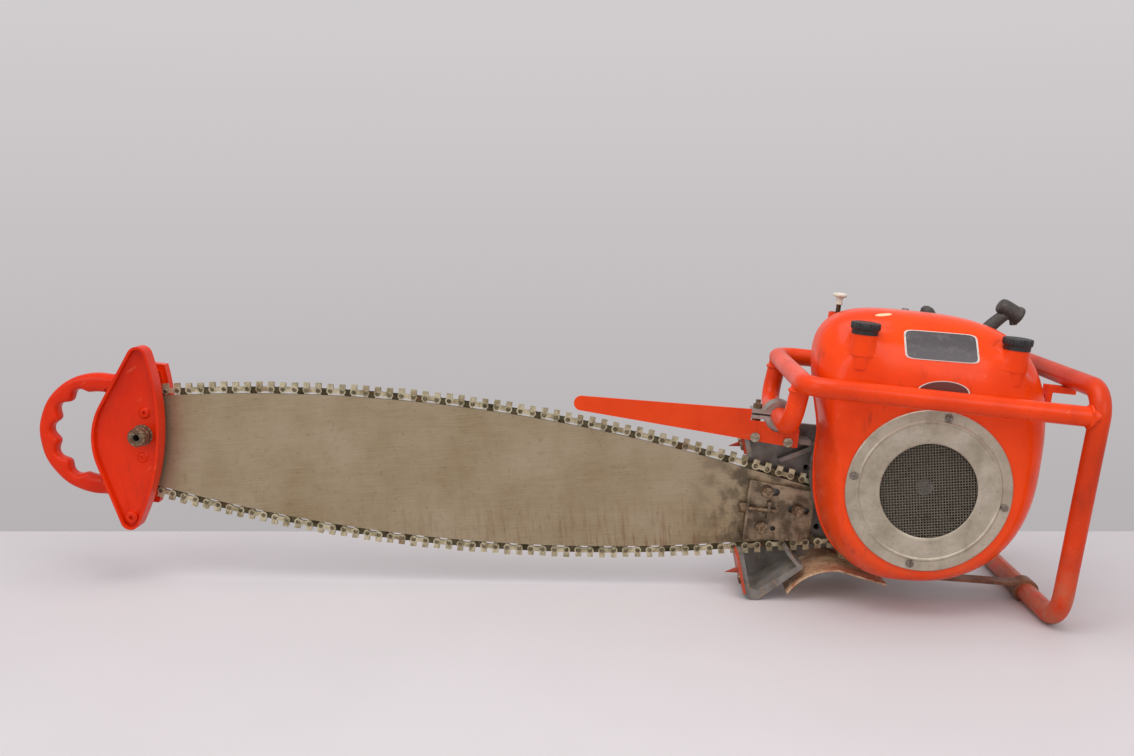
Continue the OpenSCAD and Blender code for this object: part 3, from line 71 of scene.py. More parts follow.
# Fan cowl: its widest outline, how square each quarter is, its lean to the front, and how it rounds to the intake
COWL_MIDDLE = (325.0, 240.0)
COWL_TALL, COWL_AHEAD, COWL_BEHIND = 166.0, 97.5, 169.5
COWL_POWERS = (3, 3.4, 2.3, 2.45)
COWL_LEAN, LEAN_START = 0.34, 20.0
COWL_CROWN = 2.1
COWL_FRONT, COWL_TURN, COWL_BACK = 109.0, 40.0, 20.0
COWL_STEPS, COWL_RINGS = 288, 40
DRUM_RADIUS, INTAKE_RADIUS, SEAT_RADIUS = 104.0, 58.0, 76.0
DRUM_INSETS = (14, 26)
LIP_START, LIP_SPAN, LIP_STEPS, LIP_FADE = 168.0, 190.0, 160, 30
LIP_OUT, LIP_BEHIND, LIP_THIN, LIP_SWELL = 0.4, 2.6, 0.6, 1.9
# The sheet's swell up to each filler neck, and the flare round the neck
CAPS = {"fuel_cap": 432.0, "oil_cap": 252.7}
CAP_Y = -92.0
NECK_TOP = 387.5
SWELL, SWELL_Y, SWELL_REACH, SWELL_BACK = 30.0, -103.0, 27.0, -84.0
SWELL_LOW, SWELL_RISE, SWELL_FADE, SWELL_SOFT = 275.0, 50.0, 16.0, 0.7
FLARE_STEPS, FLARE_ROWS, FLARE_EVEN = 96, 12, 4
FLARE_REACHES = [26 - 0.4 * k for k in range(28)]
FLARE_RADIUS, FLARE_TOP, FLARE_DROP, FLARE_SUNK = 14.9, 9.5, 34.0, 1.5
FLARE_SPREAD, FLARE_SLOPE = 1.9, 1.3
OVERHEAD = 460.0
# Bare data plate, a streak of painted highlight on the cowl and the badge: their corners in the photograph, in pixels
PHOTO_WIDE, PHOTO_TALL = 1134, 756
PATCH_STEPS, PATCH_RINGS, PATCH_THICK = 96, (0.34, 0.67, 1.0), 0.7
PLATE_CORNERS = ((903.4, 329.3), (976.8, 335.4), (980.1, 364.4), (905.4, 358.3))
HIGHLIGHT_CORNERS = ((875.0, 314.4), (891.5, 313.2), (892.0, 315.6), (875.5, 316.8))
BADGE_CORNERS = ((916.0, 380.5), (970.0, 381.5), (970.0, 406.0), (916.0, 405.0))
# Intake mesh
WEAVE_LEAN, WEAVE_DEPTH, WEAVE_WAVE, WEAVE_OVERLAP = math.radians(10), 1.8, 0.55, 1.5
RIM_INNER, RIM_OUTER, RIM_TALL, RIM_DEPTH = 59.0, 66.0, 2.8, 3.1
# Nose guard, shaped like an eye, and the helper's handle
AXIS_Z = 129.0
EYE = (-651.0, 134.5)
EYE_HEIGHT, EYE_LEFT, EYE_RIGHT, EYE_BELLY, EYE_TIP = 245.0, 56.0, 34.0, 95.0, 13.0
GUARD_WALL, GUARD_FACE, GUARD_BACK = 3.5, -24.0, -16.5
HANDLE = (-708.0, 130.0)
HANDLE_OUTER, HANDLE_THICK, HANDLE_HALF = 82.0, 25.0, 11.2
FINGERS, FINGER_TURN, FINGER_DEPTH, FINGER_SHARP = 5, 30.0, 8.0, 2.6
GRIP_CUT, GRIP_START, GRIP_SPAN, GRIP_STEPS, GRIP_SIDES, GRIP_SQUARE = 4.0, 84.0, 192.0, 288, 32, 0.72
# Plug cap, cable boot and oil pump
CYLINDER_Y = 21.0
PLUG_HEAD = (456.9, CYLINDER_Y, 415.5)
PLUG_PATH = ((422.8, CYLINDER_Y, 374.4), (431.0, CYLINDER_Y, 392.0), (452.0, CYLINDER_Y, 411.0))
BOOT_PATH = ((330.0, CYLINDER_Y, 366.0), (376.0, CYLINDER_Y, 382.0), (347.0, CYLINDER_Y, 409.0))
PUMP, PUMP_TOP = (238.0, 8.0), 392.0
# Camera and studio, in metres, and the lens in millimetres
LENS, SENSOR = 35, 36
CAMERA_SPOT = (-MIDDLE / 1000, -1.41, 0.503)
CAMERA_YAW, CAMERA_DOWN = math.radians(2.82), math.radians(9.02)
FLOOR_SIDE, FLOOR_BACK, FLOOR_DROP, WALL_REACH = 5, -3, 0.0002, 1.652
# Each softbox's name, place, aim, size, and power in watts
SOFTBOXES = (
    ("softbox_top", (0.0, -0.35, 1.9), (0.1, 0.05, 0.1), 1.5, 21),
    ("softbox_left", (-1.6, -1.5, 1.2), (-0.2, 0, 0.1), 1.2, 9),
    ("softbox_right", (1.5, -1.7, 1.4), (0.4, 0, 0.2), 1.2, 11),
)


def saw(x, y, z):
    """A point of the saw's own axes, in millimetres, as a point of the shared frame, in metres."""
    c, s = math.cos(TILT), math.sin(TILT)
    return Vector((x * c + z * s - MIDDLE, y, z * c - x * s + LIFT)) / 1000


def place_at(x, y, z, turn=0.0, axis="X"):
    """A local frame at a point of the saw, turned by some degrees from the saw's own axes."""
    turned_by = Matrix.Rotation(TILT, 4, "Y") @ Matrix.Rotation(math.radians(turn), 4, axis)
    return Matrix.Translation(saw(x, y, z)) @ turned_by


def held(value):
    """A value held between 0 and 1."""
    return min(max(value, 0), 1)


def signed_power(value, power):
    """A power of a value's size, with the value's own sign."""
    return math.copysign(abs(value) ** power, value)


def circle(steps):
    """The angles of equal steps round a circle."""
    return [2 * math.pi * i / steps for i in range(steps)]


def bend(points, steps):
    """A smooth path from the first of three points to the last, drawn towards the second."""
    first, second, third = (saw(*p) for p in points)
    shares = (k / steps for k in range(steps + 1))
    return [first * (1 - t) ** 2 + second * 2 * t * (1 - t) + third * t * t for t in shares]


def linear(code):
    """An sRGB hex colour as linear red, green and blue."""
    parts = [int(code[i : i + 2], 16) / 255 for i in (1, 3, 5)]
    return [p / 12.92 if p <= 0.04045 else ((p + 0.055) / 1.055) ** 2.4 for p in parts]


# ---------------------------------------------------------------- materials


def add(tree, kind, inputs=(), **settings):
    """Adds a shader node with its settings. Its inputs are given in order or by name: a value, a hex colour, another
    node's output, or a node that stands for its first output."""
    node = tree.nodes.new("ShaderNode" + kind)
    for key, value in settings.items():
        setattr(node, key, value)
    for key, value in inputs.items() if isinstance(inputs, dict) else enumerate(inputs):
        socket = node.inputs[key]
        value = linear(value) if isinstance(value, str) else value
        value = value.outputs[0] if isinstance(value, bpy.types.Node) else value
        if isinstance(value, bpy.types.NodeSocket):
            tree.links.new(value, socket)
        elif socket.type == "RGBA" and len(value) == 3:
            socket.default_value = (*value, 1)
        else:
            socket.default_value = value
    return node


def blank(name):
    """A new material with its tree, and the object's own coordinates in metres."""
    material = bpy.data.materials.new(name)
    material.use_nodes = True
    tree = material.node_tree
    tree.nodes.clear()
    return material, tree, add(tree, "TexCoord").outputs["Object"]


def grain(tree, where, size_mm, detail=3.0, rough=0.55, stretch=(1, 1, 1), turn=0.0):
    """A pattern of lumps about size_mm across, from 0 to 1, which may be drawn out along turned axes."""
    if stretch != (1, 1, 1) or turn:
        where = add(tree, "Mapping", {"Vector": where, "Rotation": (0, turn, 0)})
        where = add(tree, "Mapping", {"Vector": where, "Scale": tuple(1 / s for s in stretch)})
    lumps = {"Vector": where, "Scale": 1000 / size_mm, "Detail": detail, "Roughness": rough}
    return add(tree, "TexNoise", lumps)


def layered(tree, ground, *layers):
    """Lays colours over a ground colour, one after another, each by its own share."""
    for share, over in layers:
        ground = add(tree, "Mix", {0: share, 6: ground, 7: over}, data_type="RGBA").outputs[2]
    return ground


def close(material, colour, rough, height, depth_mm, strength, constants):
    """Ends a material in one principled shader, with a height raised to its real depth."""
    tree = material.node_tree
    bump = add(tree, "Bump", {"Height": height, "Distance": depth_mm / 1000, "Strength": strength})
    end = add(tree, "BsdfPrincipled", {"Base Color": colour, "Roughness": rough, "Normal": bump, **constants})
    add(tree, "OutputMaterial", {"Surface": end})
    return material


def sprayed_enamel(name, coat, shade, bare, chips, dust, dust_top, rough=0.3, streaks=0.25):
    """Alkyd enamel sprayed on steel: even and glossy with a faint orange peel, chipped down to brown rust where the
    saw was handled, scuffed pale in fine dry strokes, and dusty brown near the ground."""
    material, tree, where = blank(name)
    # the coat has faded in clouds 70 mm across
    cloudy = grain(tree, where, 70, 4)
    faded = add(tree, "MapRange", (cloudy, 0.35, 0.7))
    # scuffs are fine strokes that run one way, 9 mm apart
    scuff = add(tree, "MapRange", (grain(tree, where, 9, 6, 0.7, (3.2, 1, 1), 0.6), 0.64, 0.72, 0, 0.35))
    # brown smears run down from where hands and branches rubbed
    rubbed = add(tree, "MapRange", (grain(tree, where, 60, 2), 0.48, 0.62, 0, streaks))
    smear = add(tree, "MapRange", (grain(tree, where, 11, 4, 0.6, (1, 1, 5)), 0.56, 0.7))
    smear = add(tree, "Math", (smear, rubbed), operation="MULTIPLY")
    # chips are up to 4.5 mm across and gather in patches
    patch = add(tree, "MapRange", (grain(tree, where, 45, 2), 0.48, 0.62))
    chip = add(tree, "MapRange", (grain(tree, where, 4.5, 5, 0.62), 1 - chips, 1.02 - chips))
    chip = add(tree, "Math", (chip, patch), operation="MULTIPLY")
    # dust clings in clouds 22 mm across, up to a height over the ground
    cloud = add(tree, "MapRange", (grain(tree, where, 22, 5, 0.65), 0.3, 0.7, 0, dust))
    z = add(tree, "SeparateXYZ", (where,)).outputs["Z"]
    dusty = add(tree, "Math", (cloud, add(tree, "MapRange", (z, 0, dust_top / 1000, 1, 0))), operation="MULTIPLY")
    colour = layered(
        tree, coat, (faded, shade), (scuff, "#E88A66"), (smear, "#84301C"), (chip, bare), (dusty, "#A07458")
    )
    sheen = add(tree, "MapRange", (cloudy, 0.3, 0.7, rough - 0.05, rough + 0.08))
    sheen = add(tree, "Math", (chip, 0.35, sheen), operation="MULTIPLY_ADD")
    # orange peel, 1.6 mm across
    peel = add(tree, "Math", (grain(tree, where, 1.6, 2), 0.12), operation="MULTIPLY")
    height = add(tree, "Math", (peel, chip), operation="SUBTRACT")
    gloss = {"Coat Weight": 0.12, "Coat Roughness": 0.12, "Specular IOR Level": 0.14}
    return close(material, colour, sheen, height, 0.12, 0.5, gloss)


def rolled_bar_steel(name, clean, brown):
    """Rolled carbon steel, ground and then left out: a brown grey skin, faint lengthwise scratches, and rust that
    runs down in streaks towards the lower edge and the tail."""
    material, tree, where = blank(name)
    skin = grain(tree, where, 120, 5, 0.6)
    browned = add(tree, "MapRange", (skin, 0.35, 0.68))
    # grinding marks along the bar, drawn 1.2 mm apart so that they show
    lines = grain(tree, where, 1.2, 3, 0.6, (40, 1, 1), TILT)
    scratched = add(tree, "MapRange", (lines, 0.35, 0.75, 0, 0.35))
    speck = add(tree, "MapRange", (grain(tree, where, 5, 6, 0.7), 0.58, 0.74, 0, 0.55))
    # rust streaks are 4 mm apart, and thicken towards the tail and the lower edge
    x, _, z = add(tree, "SeparateXYZ", (where,)).outputs
    rust = add(tree, "MapRange", (grain(tree, where, 4, 4, 0.6, (1, 1, 11), TILT), 0.5, 0.66, 0, 0.85))
    rust = add(tree, "Math", (rust, add(tree, "MapRange", (x, -0.45, 0.2))), operation="MULTIPLY")
    rust = add(tree, "Math", (rust, add(tree, "MapRange", (z, 0.03, 0.13, 1, 0))), operation="MULTIPLY")
    # oil and sawdust cake the tail
    grease = add(tree, "MapRange", (grain(tree, where, 18, 4), 0.42, 0.6, 0, 0.7))
    grease = add(tree, "Math", (grease, add(tree, "MapRange", (x, 0.19, 0.26))), operation="MULTIPLY")
    colour = layered(
        tree, clean, (browned, brown), (scratched, "#C2B59A"), (speck, "#5E4A36"), (rust, "#7B4A2C"),
        (grease, "#3B332A"),
    )
    rough = add(tree, "MapRange", (skin, 0.3, 0.7, 0.42, 0.58))
    pitted = add(tree, "Math", (speck, -0.6), operation="MULTIPLY")
    height = add(tree, "Math", (lines, 0.5, pitted), operation="MULTIPLY_ADD")
    return close(material, colour, rough, height, 0.06, 0.6, {"Metallic": 0.85})


def greasy_chain_steel(name, worn, oily):
    """Blanked and hardened chain links: dull olive grey, polished on the crowns, with dried oil between."""
    material, tree, where = blank(name)
    lump = grain(tree, where, 14, 5, 0.65)
    dried = add(tree, "MapRange", (lump, 0.42, 0.62))
    spot = add(tree, "MapRange", (grain(tree, where, 2.2, 4), 0.55, 0.7, 0, 0.6))
    rust = add(tree, "MapRange", (grain(tree, where, 34, 3), 0.58, 0.7, 0, 0.5))
    colour = layered(tree, worn, (dried, oily), (spot, "#4A4130"), (rust, "#7A4E30"))
    rough = add(tree, "MapRange", (lump, 0.3, 0.7, 0.36, 0.6))
    return close(material, colour, rough, grain(tree, where, 1.1, 3), 0.1, 0.5, {"Metallic": 0.8})


def spun_aluminium(name, face, dull, centre):
    """Spun sheet aluminium: fine rings from the tool about the crank's axis, dulled and pitted by weather."""
    material, tree, where = blank(name)
    shift = add(tree, "VectorMath", (where, tuple(centre)), operation="SUBTRACT")
    flat = add(tree, "VectorMath", (shift, (1, 0, 1)), operation="MULTIPLY")
    radius = add(tree, "VectorMath", (flat,), operation="LENGTH").outputs["Value"]
    # tool rings 0.9 mm apart
    rings = grain(tree, add(tree, "CombineXYZ", (radius,)), 0.9, 3, 0.6)
    cloudy = grain(tree, where, 30, 5, 0.65)
    dulled = add(tree, "MapRange", (cloudy, 0.36, 0.66))
    tooled = add(tree, "MapRange", (rings, 0.4, 0.75, 0, 0.3))
    pit = add(tree, "MapRange", (grain(tree, where, 3, 5, 0.7), 0.6, 0.7, 0, 0.7))
    colour = layered(tree, face, (dulled, dull), (tooled, "#9A9180"), (pit, "#6A5F50"))
    rough = add(tree, "MapRange", (cloudy, 0.3, 0.7, 0.38, 0.55))
    pitted = add(tree, "Math", (pit, -0.8), operation="MULTIPLY")
    height = add(tree, "Math", (rings, 0.5, pitted), operation="MULTIPLY_ADD")
    return close(material, colour, rough, height, 0.06, 0.6, {"Metallic": 0.75})


def sand_cast(name, light, dark, dirt, dirt_share, metallic):
    """Sand cast metal: a pebbled skin of 1.3 mm lumps, with oil and sawdust packed in the low places."""
    material, tree, where = blank(name)
    pebbles = grain(tree, where, 1.3, 4, 0.6)
    mottled = add(tree, "MapRange", (grain(tree, where, 26, 4, 0.6), 0.35, 0.65))
    low, high = 0.66 - dirt_share * 0.3, 0.74 - dirt_share * 0.25
    packed = add(tree, "MapRange", (grain(tree, where, 11, 6, 0.7), low, high, 0, 0.85))
    colour = layered(tree, light, (mottled, dark), (packed, dirt))
    rough = add(tree, "MapRange", (packed, 0, 1, 0.5, 0.85))
    height = add(tree, "Math", (packed, 0.6, pebbles), operation="MULTIPLY_ADD")
    return close(material, colour, rough, height, 0.25, 0.6, {"Metallic": metallic})


def turned_steel(name, bright, dull, rough_low, rough_high, rust_share=0.2):
    """Machined steel such as screws and shafts: bright with a soft sheen, and brown where the plating has gone."""
    material, tree, where = blank(name)
    cloudy = grain(tree, where, 6, 4, 0.6)
    dulled = add(tree, "MapRange", (cloudy, 0.35, 0.65))
    rust = add(tree, "MapRange", (grain(tree, where, 3.5, 5, 0.65), 0.72 - rust_share, 0.82 - rust_share, 0, 0.8))
    colour = layered(tree, bright, (dulled, dull), (rust, "#6B4B33"))
    rough = add(tree, "MapRange", (cloudy, 0.3, 0.7, rough_low, rough_high))
    rough = add(tree, "Math", (rust, 0.25, rough), operation="MULTIPLY_ADD")
    return close(material, colour, rough, grain(tree, where, 0.9, 3), 0.05, 0.4, {"Metallic": 0.85})


def burnt_sheet(name):
    """Mild steel sheet by the exhaust: flaking brown rust over tan scale, with red oxide along its edges."""
    material, tree, where = blank(name)
    scale = grain(tree, where, 16, 6, 0.65)
    scaled = add(tree, "MapRange", (scale, 0.38, 0.62))
    flake = add(tree, "MapRange", (grain(tree, where, 4, 5, 0.7), 0.55, 0.64))
    brown = add(tree, "Math", (flake, 0.7), operation="MULTIPLY")
    red = add(tree, "MapRange", (grain(tree, where, 28, 3), 0.55, 0.66, 0, 0.6))
    colour = layered(tree, "#E2C09A", (scaled, "#B8906C"), (brown, "#6E4A34"), (red, "#B4482A"))
    rough = add(tree, "MapRange", (scale, 0.3, 0.7, 0.55, 0.8))
    return close(material, colour, rough, flake, 0.25, 0.6, {"Metallic": 0.1})


def moulded_plastic(name, face, worn, rough, grit_mm=0.7):
    """Moulded phenolic, nylon or rubber, and paints and glazes as smooth as they are: fine grit and a faint sheen,
    greyed where hands rub it."""
    material, tree, where = blank(name)
    rub = add(tree, "MapRange", (grain(tree, where, 7, 5, 0.65), 0.52, 0.72, 0, 0.7))
    colour = layered(tree, face, (rub, worn))
    rough = add(tree, "MapRange", (rub, 0, 1, rough, rough + 0.15))
    return close(material, colour, rough, grain(tree, where, grit_mm, 3), 0.08, 0.5, {"IOR": 1.5})


def studio_paper(name, near, far):
    """Matt paper on a table: a very faint mottle, and no shine."""
    material, tree, where = blank(name)
    colour = layered(tree, near, (add(tree, "MapRange", (grain(tree, where, 300, 3), 0.4, 0.6)), far))
    return close(material, colour, 0.55, grain(tree, where, 2, 2), 0.02, 0.3, {"Specular IOR Level": 0.15})


def dress(names, material):
    """Gives CAD nodes a finish."""
    for name in names:
        slots = NODES[name].data.materials
        slots.clear()
        slots.append(material)


# ---------------------------------------------------------------- meshes


def piece(name, shape, material, replaced=(), smooth=35, body="frame"):
    """Turns a bmesh into a named piece that rides on a body."""
    mesh = bpy.data.meshes.new(name)
    bmesh.ops.recalc_face_normals(shape, faces=shape.faces)
    shape.to_mesh(mesh)
    shape.free()
    mesh.materials.append(material)
    mesh.shade_smooth()
    mesh.set_sharp_from_angle(angle=math.radians(smooth))
    thing = bpy.data.objects.new(name, mesh)
    bpy.context.scene.collection.objects.link(thing)
    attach(thing, body)
    if replaced:
        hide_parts(*replaced)


def skin(shape, lower, upper):
    """Joins two rings of as many vertices each."""
    for i in range(len(lower)):
        j = (i + 1) % len(lower)
        shape.faces.new((lower[i], lower[j], upper[j], upper[i]))


def rows_of(shape, rows):
    """Skins rings of points, each as long as the next, and returns the vertices."""
    made = [[shape.verts.new(p) for p in row] for row in rows]
    for lower, upper in zip(made, made[1:]):
        skin(shape, lower, upper)
    return made


def capped_rows(shape, rows):
    """Skins rings of points and closes both ends."""
    made = rows_of(shape, rows)
    shape.faces.new(made[0])
    shape.faces.new(made[-1])


def fan(shape, ring, middle):
    """Closes a ring with triangles that meet in one vertex."""
    for i, corner in enumerate(ring):
        shape.faces.new((corner, ring[(i + 1) % len(ring)], middle))


def turned(shape, profile, place, steps):
    """A turned form: profile is (radius, height) pairs about the local Z of place. Ends on the axis close."""
    rings = []
    for radius, height in profile:
        spots = [(radius * math.cos(a), radius * math.sin(a), height) for a in circle(steps if radius else 1)]
        rings.append([shape.verts.new(place @ (Vector(spot) / 1000)) for spot in spots])
    for low, high in zip(rings, rings[1:]):
        if len(low) == 1:
            fan(shape, high, low[0])
        elif len(high) == 1:
            fan(shape, low, high[0])
        else:
            skin(shape, low, high)


def tube(shape, path, radius, sides=12):
    """A round tube along points, closed at both ends. The radius is one value, or one for each point."""
    rows = []
    up = Vector((0, 1, 0.01))
    for k, p in enumerate(path):
        ahead = path[min(k + 1, len(path) - 1)] - path[max(k - 1, 0)]
        ahead.normalize()
        side = ahead.cross(up).normalized()
        over = side.cross(ahead)
        thick = (radius if isinstance(radius, float) else radius[k]) / 1000
        rows.append([p + thick * (side * math.cos(a) + over * math.sin(a)) for a in circle(sides)])
    capped_rows(shape, rows)


# ---------------------------------------------------------------- settings


def length(name, description, metres):
    """A size in metres that a user can change."""
    return FloatProperty(name=name, description=description, default=metres, unit="LENGTH")


class SawSizes(bpy.types.PropertyGroup):
    cowl_wall: length("Cowl wall", "Sheet thickness of the fan cowl", 0.0022)
    cap_radius: length("Cap radius", "Outside radius of a filler cap", 0.0165)
    cap_ribs: IntProperty(name="Cap ribs", description="Grip ribs round a filler cap", default=24)
    wire: length("Wire", "Wire thickness of the intake mesh", 0.0013)
    wire_gap: length("Wire spacing", "Spacing of the intake mesh wires", 0.0034)
    weld: length("Weld bead", "Radius of the weld beads on the tubes", 0.0022)


def colour(name, description, code):
    """A colour that a user can change."""
    return FloatVectorProperty(name=name, description=description, subtype="COLOR", size=3, default=linear(code))


class SawColours(bpy.types.PropertyGroup):
    cowl: colour("Cowl", "Enamel of the cowl", "#F2480E")
    cowl_shade: colour("Cowl shade", "Faded enamel of the cowl", "#E03C0A")
    tube: colour("Tubes", "Enamel of the frame tubes", "#EC430E")
    tube_shade: colour("Tube shade", "Faded enamel of the tubes", "#D4380A")
    guard: colour("Guards", "Enamel of the nose guard and the helper's handle", "#DE2F04")
    guard_shade: colour("Guard shade", "Faded enamel of the guards", "#CA2502")
    bar: colour("Bar", "Clean steel of the guide bar", "#AC9C82")
    bar_brown: colour("Bar patina", "Brown skin of the guide bar", "#93805F")
    floor: colour("Floor", "Studio floor", "#CDC9CB")


def sizes():
    return bpy.context.scene.saw_sizes


def colours():
    """The set colours by name, linear."""
    return {k: list(getattr(bpy.context.scene.saw_colours, k)) for k in SawColours.__annotations__}


# ---------------------------------------------------------------- operators


class SAW_OT_camera(bpy.types.Operator):
    """Sets the camera at the photograph's place and angle"""

    bl_idname = "saw.camera"
    bl_label = "Camera"

    def execute(self, context):
        lens = bpy.data.cameras.new("studio_camera")
        lens.lens, lens.sensor_width = LENS, SENSOR
        camera = bpy.data.objects.new("studio_camera", lens)
        camera.location = CAMERA_SPOT
        camera.rotation_euler = (math.pi / 2 - CAMERA_DOWN, 0, CAMERA_YAW)
        context.scene.collection.objects.link(camera)
        context.scene.camera = camera
        return {"FINISHED"}


class SAW_OT_tubes(bpy.types.Operator):
    """Paints the frame tubes and lays weld beads where they meet"""

    bl_idname = "saw.tubes"
    bl_label = "Frame tubes"

    def execute(self, context):
        c = colours()
        enamel = sprayed_enamel("tube_sprayed_enamel", c["tube"], c["tube_shade"], "#5A2A1C", 0.34, 0.9, 120)
        dress(["rail_loop", "front_handle"], enamel)
        worn = sprayed_enamel(
            "hoop_worn_enamel", "#D83C0C", "#B4300C", "#6A3020", 0.3, 1.0, 110, rough=0.36, streaks=0.8
        )
        dress(["rear_hoop"], worn)
        beads = bmesh.new()
        # where each rail meets the hoop's leg, and each handle leg meets the front tube
        for side in (-1, 1):
            for (x, y, z), turn in ((RAIL_JOINT, 90), (HANDLE_JOINT, 0)):
                place = place_at(x, side * y, z, turn, "Y")
                loop = []
                for a in (*circle(BEAD_STEPS), 2 * math.pi):
                    radius = BEAD_RADIUS + BEAD_WOBBLE * math.sin(BEAD_RIPPLES * a)
                    loop.append(place @ (Vector((radius * math.cos(a), radius * math.sin(a), 0)) / 1000))
                tube(beads, loop, sizes().weld * 1000, 8)
        # the beads are ground flush on the outer sides of the frame
        side = FRAME_SIDE / 1000
        for vert in beads.verts:
            vert.co.y = min(max(vert.co.y, -side), side)
        piece("weld_beads", beads, enamel)
        return {"FINISHED"}


def cowl_edge(a, grow):
    """The cowl's widest outline at an angle, in the saw's X and Z."""
    power = 2 / COWL_POWERS[int(a // 90) % 4]
    along = signed_power(math.cos(math.radians(a)), power)
    rise = (COWL_TALL + grow) * signed_power(math.sin(math.radians(a)), power)
    # the upper front corner leans forward, softly from the middle up
    up = max(rise, 0)
    lean = COWL_LEAN * up * up / (up + LEAN_START) * min(along, 0)
    reach = COWL_BEHIND if along > 0 else COWL_AHEAD
    return COWL_MIDDLE[0] + (reach + grow) * along + lean, COWL_MIDDLE[1] + rise


def cowl_ring(t, grow):
    """One ring of the cowl, from its widest outline at t = 0 to its round front at t = 90. Below 0 it is the rear
    edge."""
    row = []
    for i in range(COWL_STEPS):
        a = i * 360 / COWL_STEPS
        wide = cowl_edge(a, grow)
        front = [CRANK[k] + (DRUM_RADIUS + grow) * (math.cos, math.sin)[k](math.radians(a)) for k in (0, 1)]
        share = math.cos(math.radians(max(t, 0))) ** (2 / COWL_CROWN)
        x, z = (front[k] + (wide[k] - front[k]) * share for k in (0, 1))
        depth = (COWL_FRONT - COWL_TURN + grow) * math.sin(math.radians(max(t, 0))) ** (2 / COWL_CROWN)
        y = -COWL_BACK if t < 0 else -COWL_TURN - depth
        # the sheet swells up to each filler neck
        for cap_x in CAPS.values():
            near = math.exp(-((x - cap_x) ** 2 + (y - SWELL_Y) ** 2) / SWELL_REACH**2)
            fade = held((SWELL_BACK - y) / SWELL_FADE) ** SWELL_SOFT
            z += SWELL * near * held((z - SWELL_LOW) / SWELL_RISE) * fade
        row.append(saw(x, y, z))
    return row


def surface_finder(name):
    """A finished piece's surface, for rays to be cast at."""
    mesh = bpy.data.objects[name].data
    return BVHTree.FromPolygons([v.co.copy() for v in mesh.vertices], [p.vertices[:] for p in mesh.polygons])


def front_ring(radius, depth):
    """A ring on the cowl's flat front, about the crank's axis."""
    return [
        saw(CRANK[0] + radius * math.cos(a), depth - COWL_FRONT, CRANK[1] + radius * math.sin(a))
        for a in circle(COWL_STEPS)
    ]


class SAW_OT_cowl(bpy.types.Operator):
    """Builds the smooth sheet cowl with its rolled lip, and paints what belongs to it"""

    bl_idname = "saw.cowl"
    bl_label = "Fan cowl"

    def execute(self, context):
        c = colours()
        enamel = sprayed_enamel(
            "cowl_sprayed_enamel", c["cowl"], c["cowl_shade"], "#7A2C17", 0.27, 0.5, 130, rough=0.26, streaks=0.45
        )
        self.shell(enamel)
        self.lip(enamel)
        dress(["rear_stay", "filler_necks", "oil_pump_body"], enamel)
        finder = surface_finder("cowl_shell")
        for name, x in CAPS.items():
            self.flare(name + "_neck_flare", x, finder, enamel)
        return {"FINISHED"}

    def shell(self, enamel):
        """The sheet: its outer side, its flat front with the intake's seat, and its inner side."""
        wall = sizes().cowl_wall * 1000
        turns = [-1] + [90 * (k / COWL_RINGS) for k in range(COWL_RINGS + 1)]
        rows = [cowl_ring(t, 0) for t in turns]
        rows += [front_ring(DRUM_RADIUS - inset, 0) for inset in DRUM_INSETS]
        rows += [front_ring(SEAT_RADIUS, depth) for depth in (0, wall)]
        rows += [cowl_ring(t, -wall) for t in reversed(turns)]
        shape = bmesh.new()
        made = rows_of(shape, rows)
        skin(shape, made[-1], made[0])
        piece("cowl_shell", shape, enamel, ["cowl"], 50)

    def lip(self, enamel):
        """The rolled lip round the rear edge, thinning out where it ends."""
        shape = bmesh.new()
        path, swell = [], []
        for i in range(LIP_STEPS + 1):
            x, z = cowl_edge(LIP_START + i * LIP_SPAN / LIP_STEPS, LIP_OUT)
            path.append(saw(x, -COWL_BACK - LIP_BEHIND, z))
            swell.append(LIP_THIN + LIP_SWELL * min(1, i / LIP_FADE, (LIP_STEPS - i) / LIP_FADE))
        tube(shape, path, swell, 12)
        piece("cowl_lip", shape, enamel)

    def flare(self, name, x, finder, enamel):
        """The flare of one filler neck: it runs out to where it meets the cowl."""
        down = (saw(0, 0, 0) - saw(0, 0, 1)).normalized()
        foot = []
        for a in circle(FLARE_STEPS):
            for reach in FLARE_REACHES:
                px, py = x + reach * math.cos(a), CAP_Y + reach * math.sin(a)
                hit = finder.ray_cast(saw(px, py, OVERHEAD), down)[0]
                drop = (saw(px, py, NECK_TOP) - hit).length * 1000 if hit is not None else math.inf
                if drop < FLARE_DROP:
                    break
            foot.append((reach, min(drop, FLARE_DROP)))
        # the foot's reach and drop are evened out round the neck
        even = []
        for i, a in enumerate(circle(FLARE_STEPS)):
            near = [foot[(i + k) % FLARE_STEPS] for k in range(-FLARE_EVEN, FLARE_EVEN + 1)]
            reach, drop = (sum(n[k] for n in near) / len(near) for k in (0, 1))
            even.append((a, reach - FLARE_RADIUS, drop + FLARE_SUNK - FLARE_TOP))
        rows = []
        for k in range(FLARE_ROWS + 1):
            u = k / FLARE_ROWS
            row = []
            for a, out, fall in even:
                radius = FLARE_RADIUS + out * u**FLARE_SPREAD
                height = NECK_TOP - FLARE_TOP - fall * (1 - (1 - u) ** FLARE_SLOPE)
                row.append(saw(x + radius * math.cos(a), CAP_Y + radius * math.sin(a), height))
            rows.append(row)
        shape = bmesh.new()
        capped_rows(shape, rows)
        piece(name, shape, enamel, (), 60)


def photo_ray(u, v):
    """The ray from the camera through a pixel of the photograph."""
    matrix = bpy.context.scene.camera.matrix_basis
    way = Vector((u - PHOTO_WIDE / 2, PHOTO_TALL / 2 - v, -PHOTO_WIDE * LENS / SENSOR))
    return matrix.translation, (matrix.to_3x3() @ way).normalized()


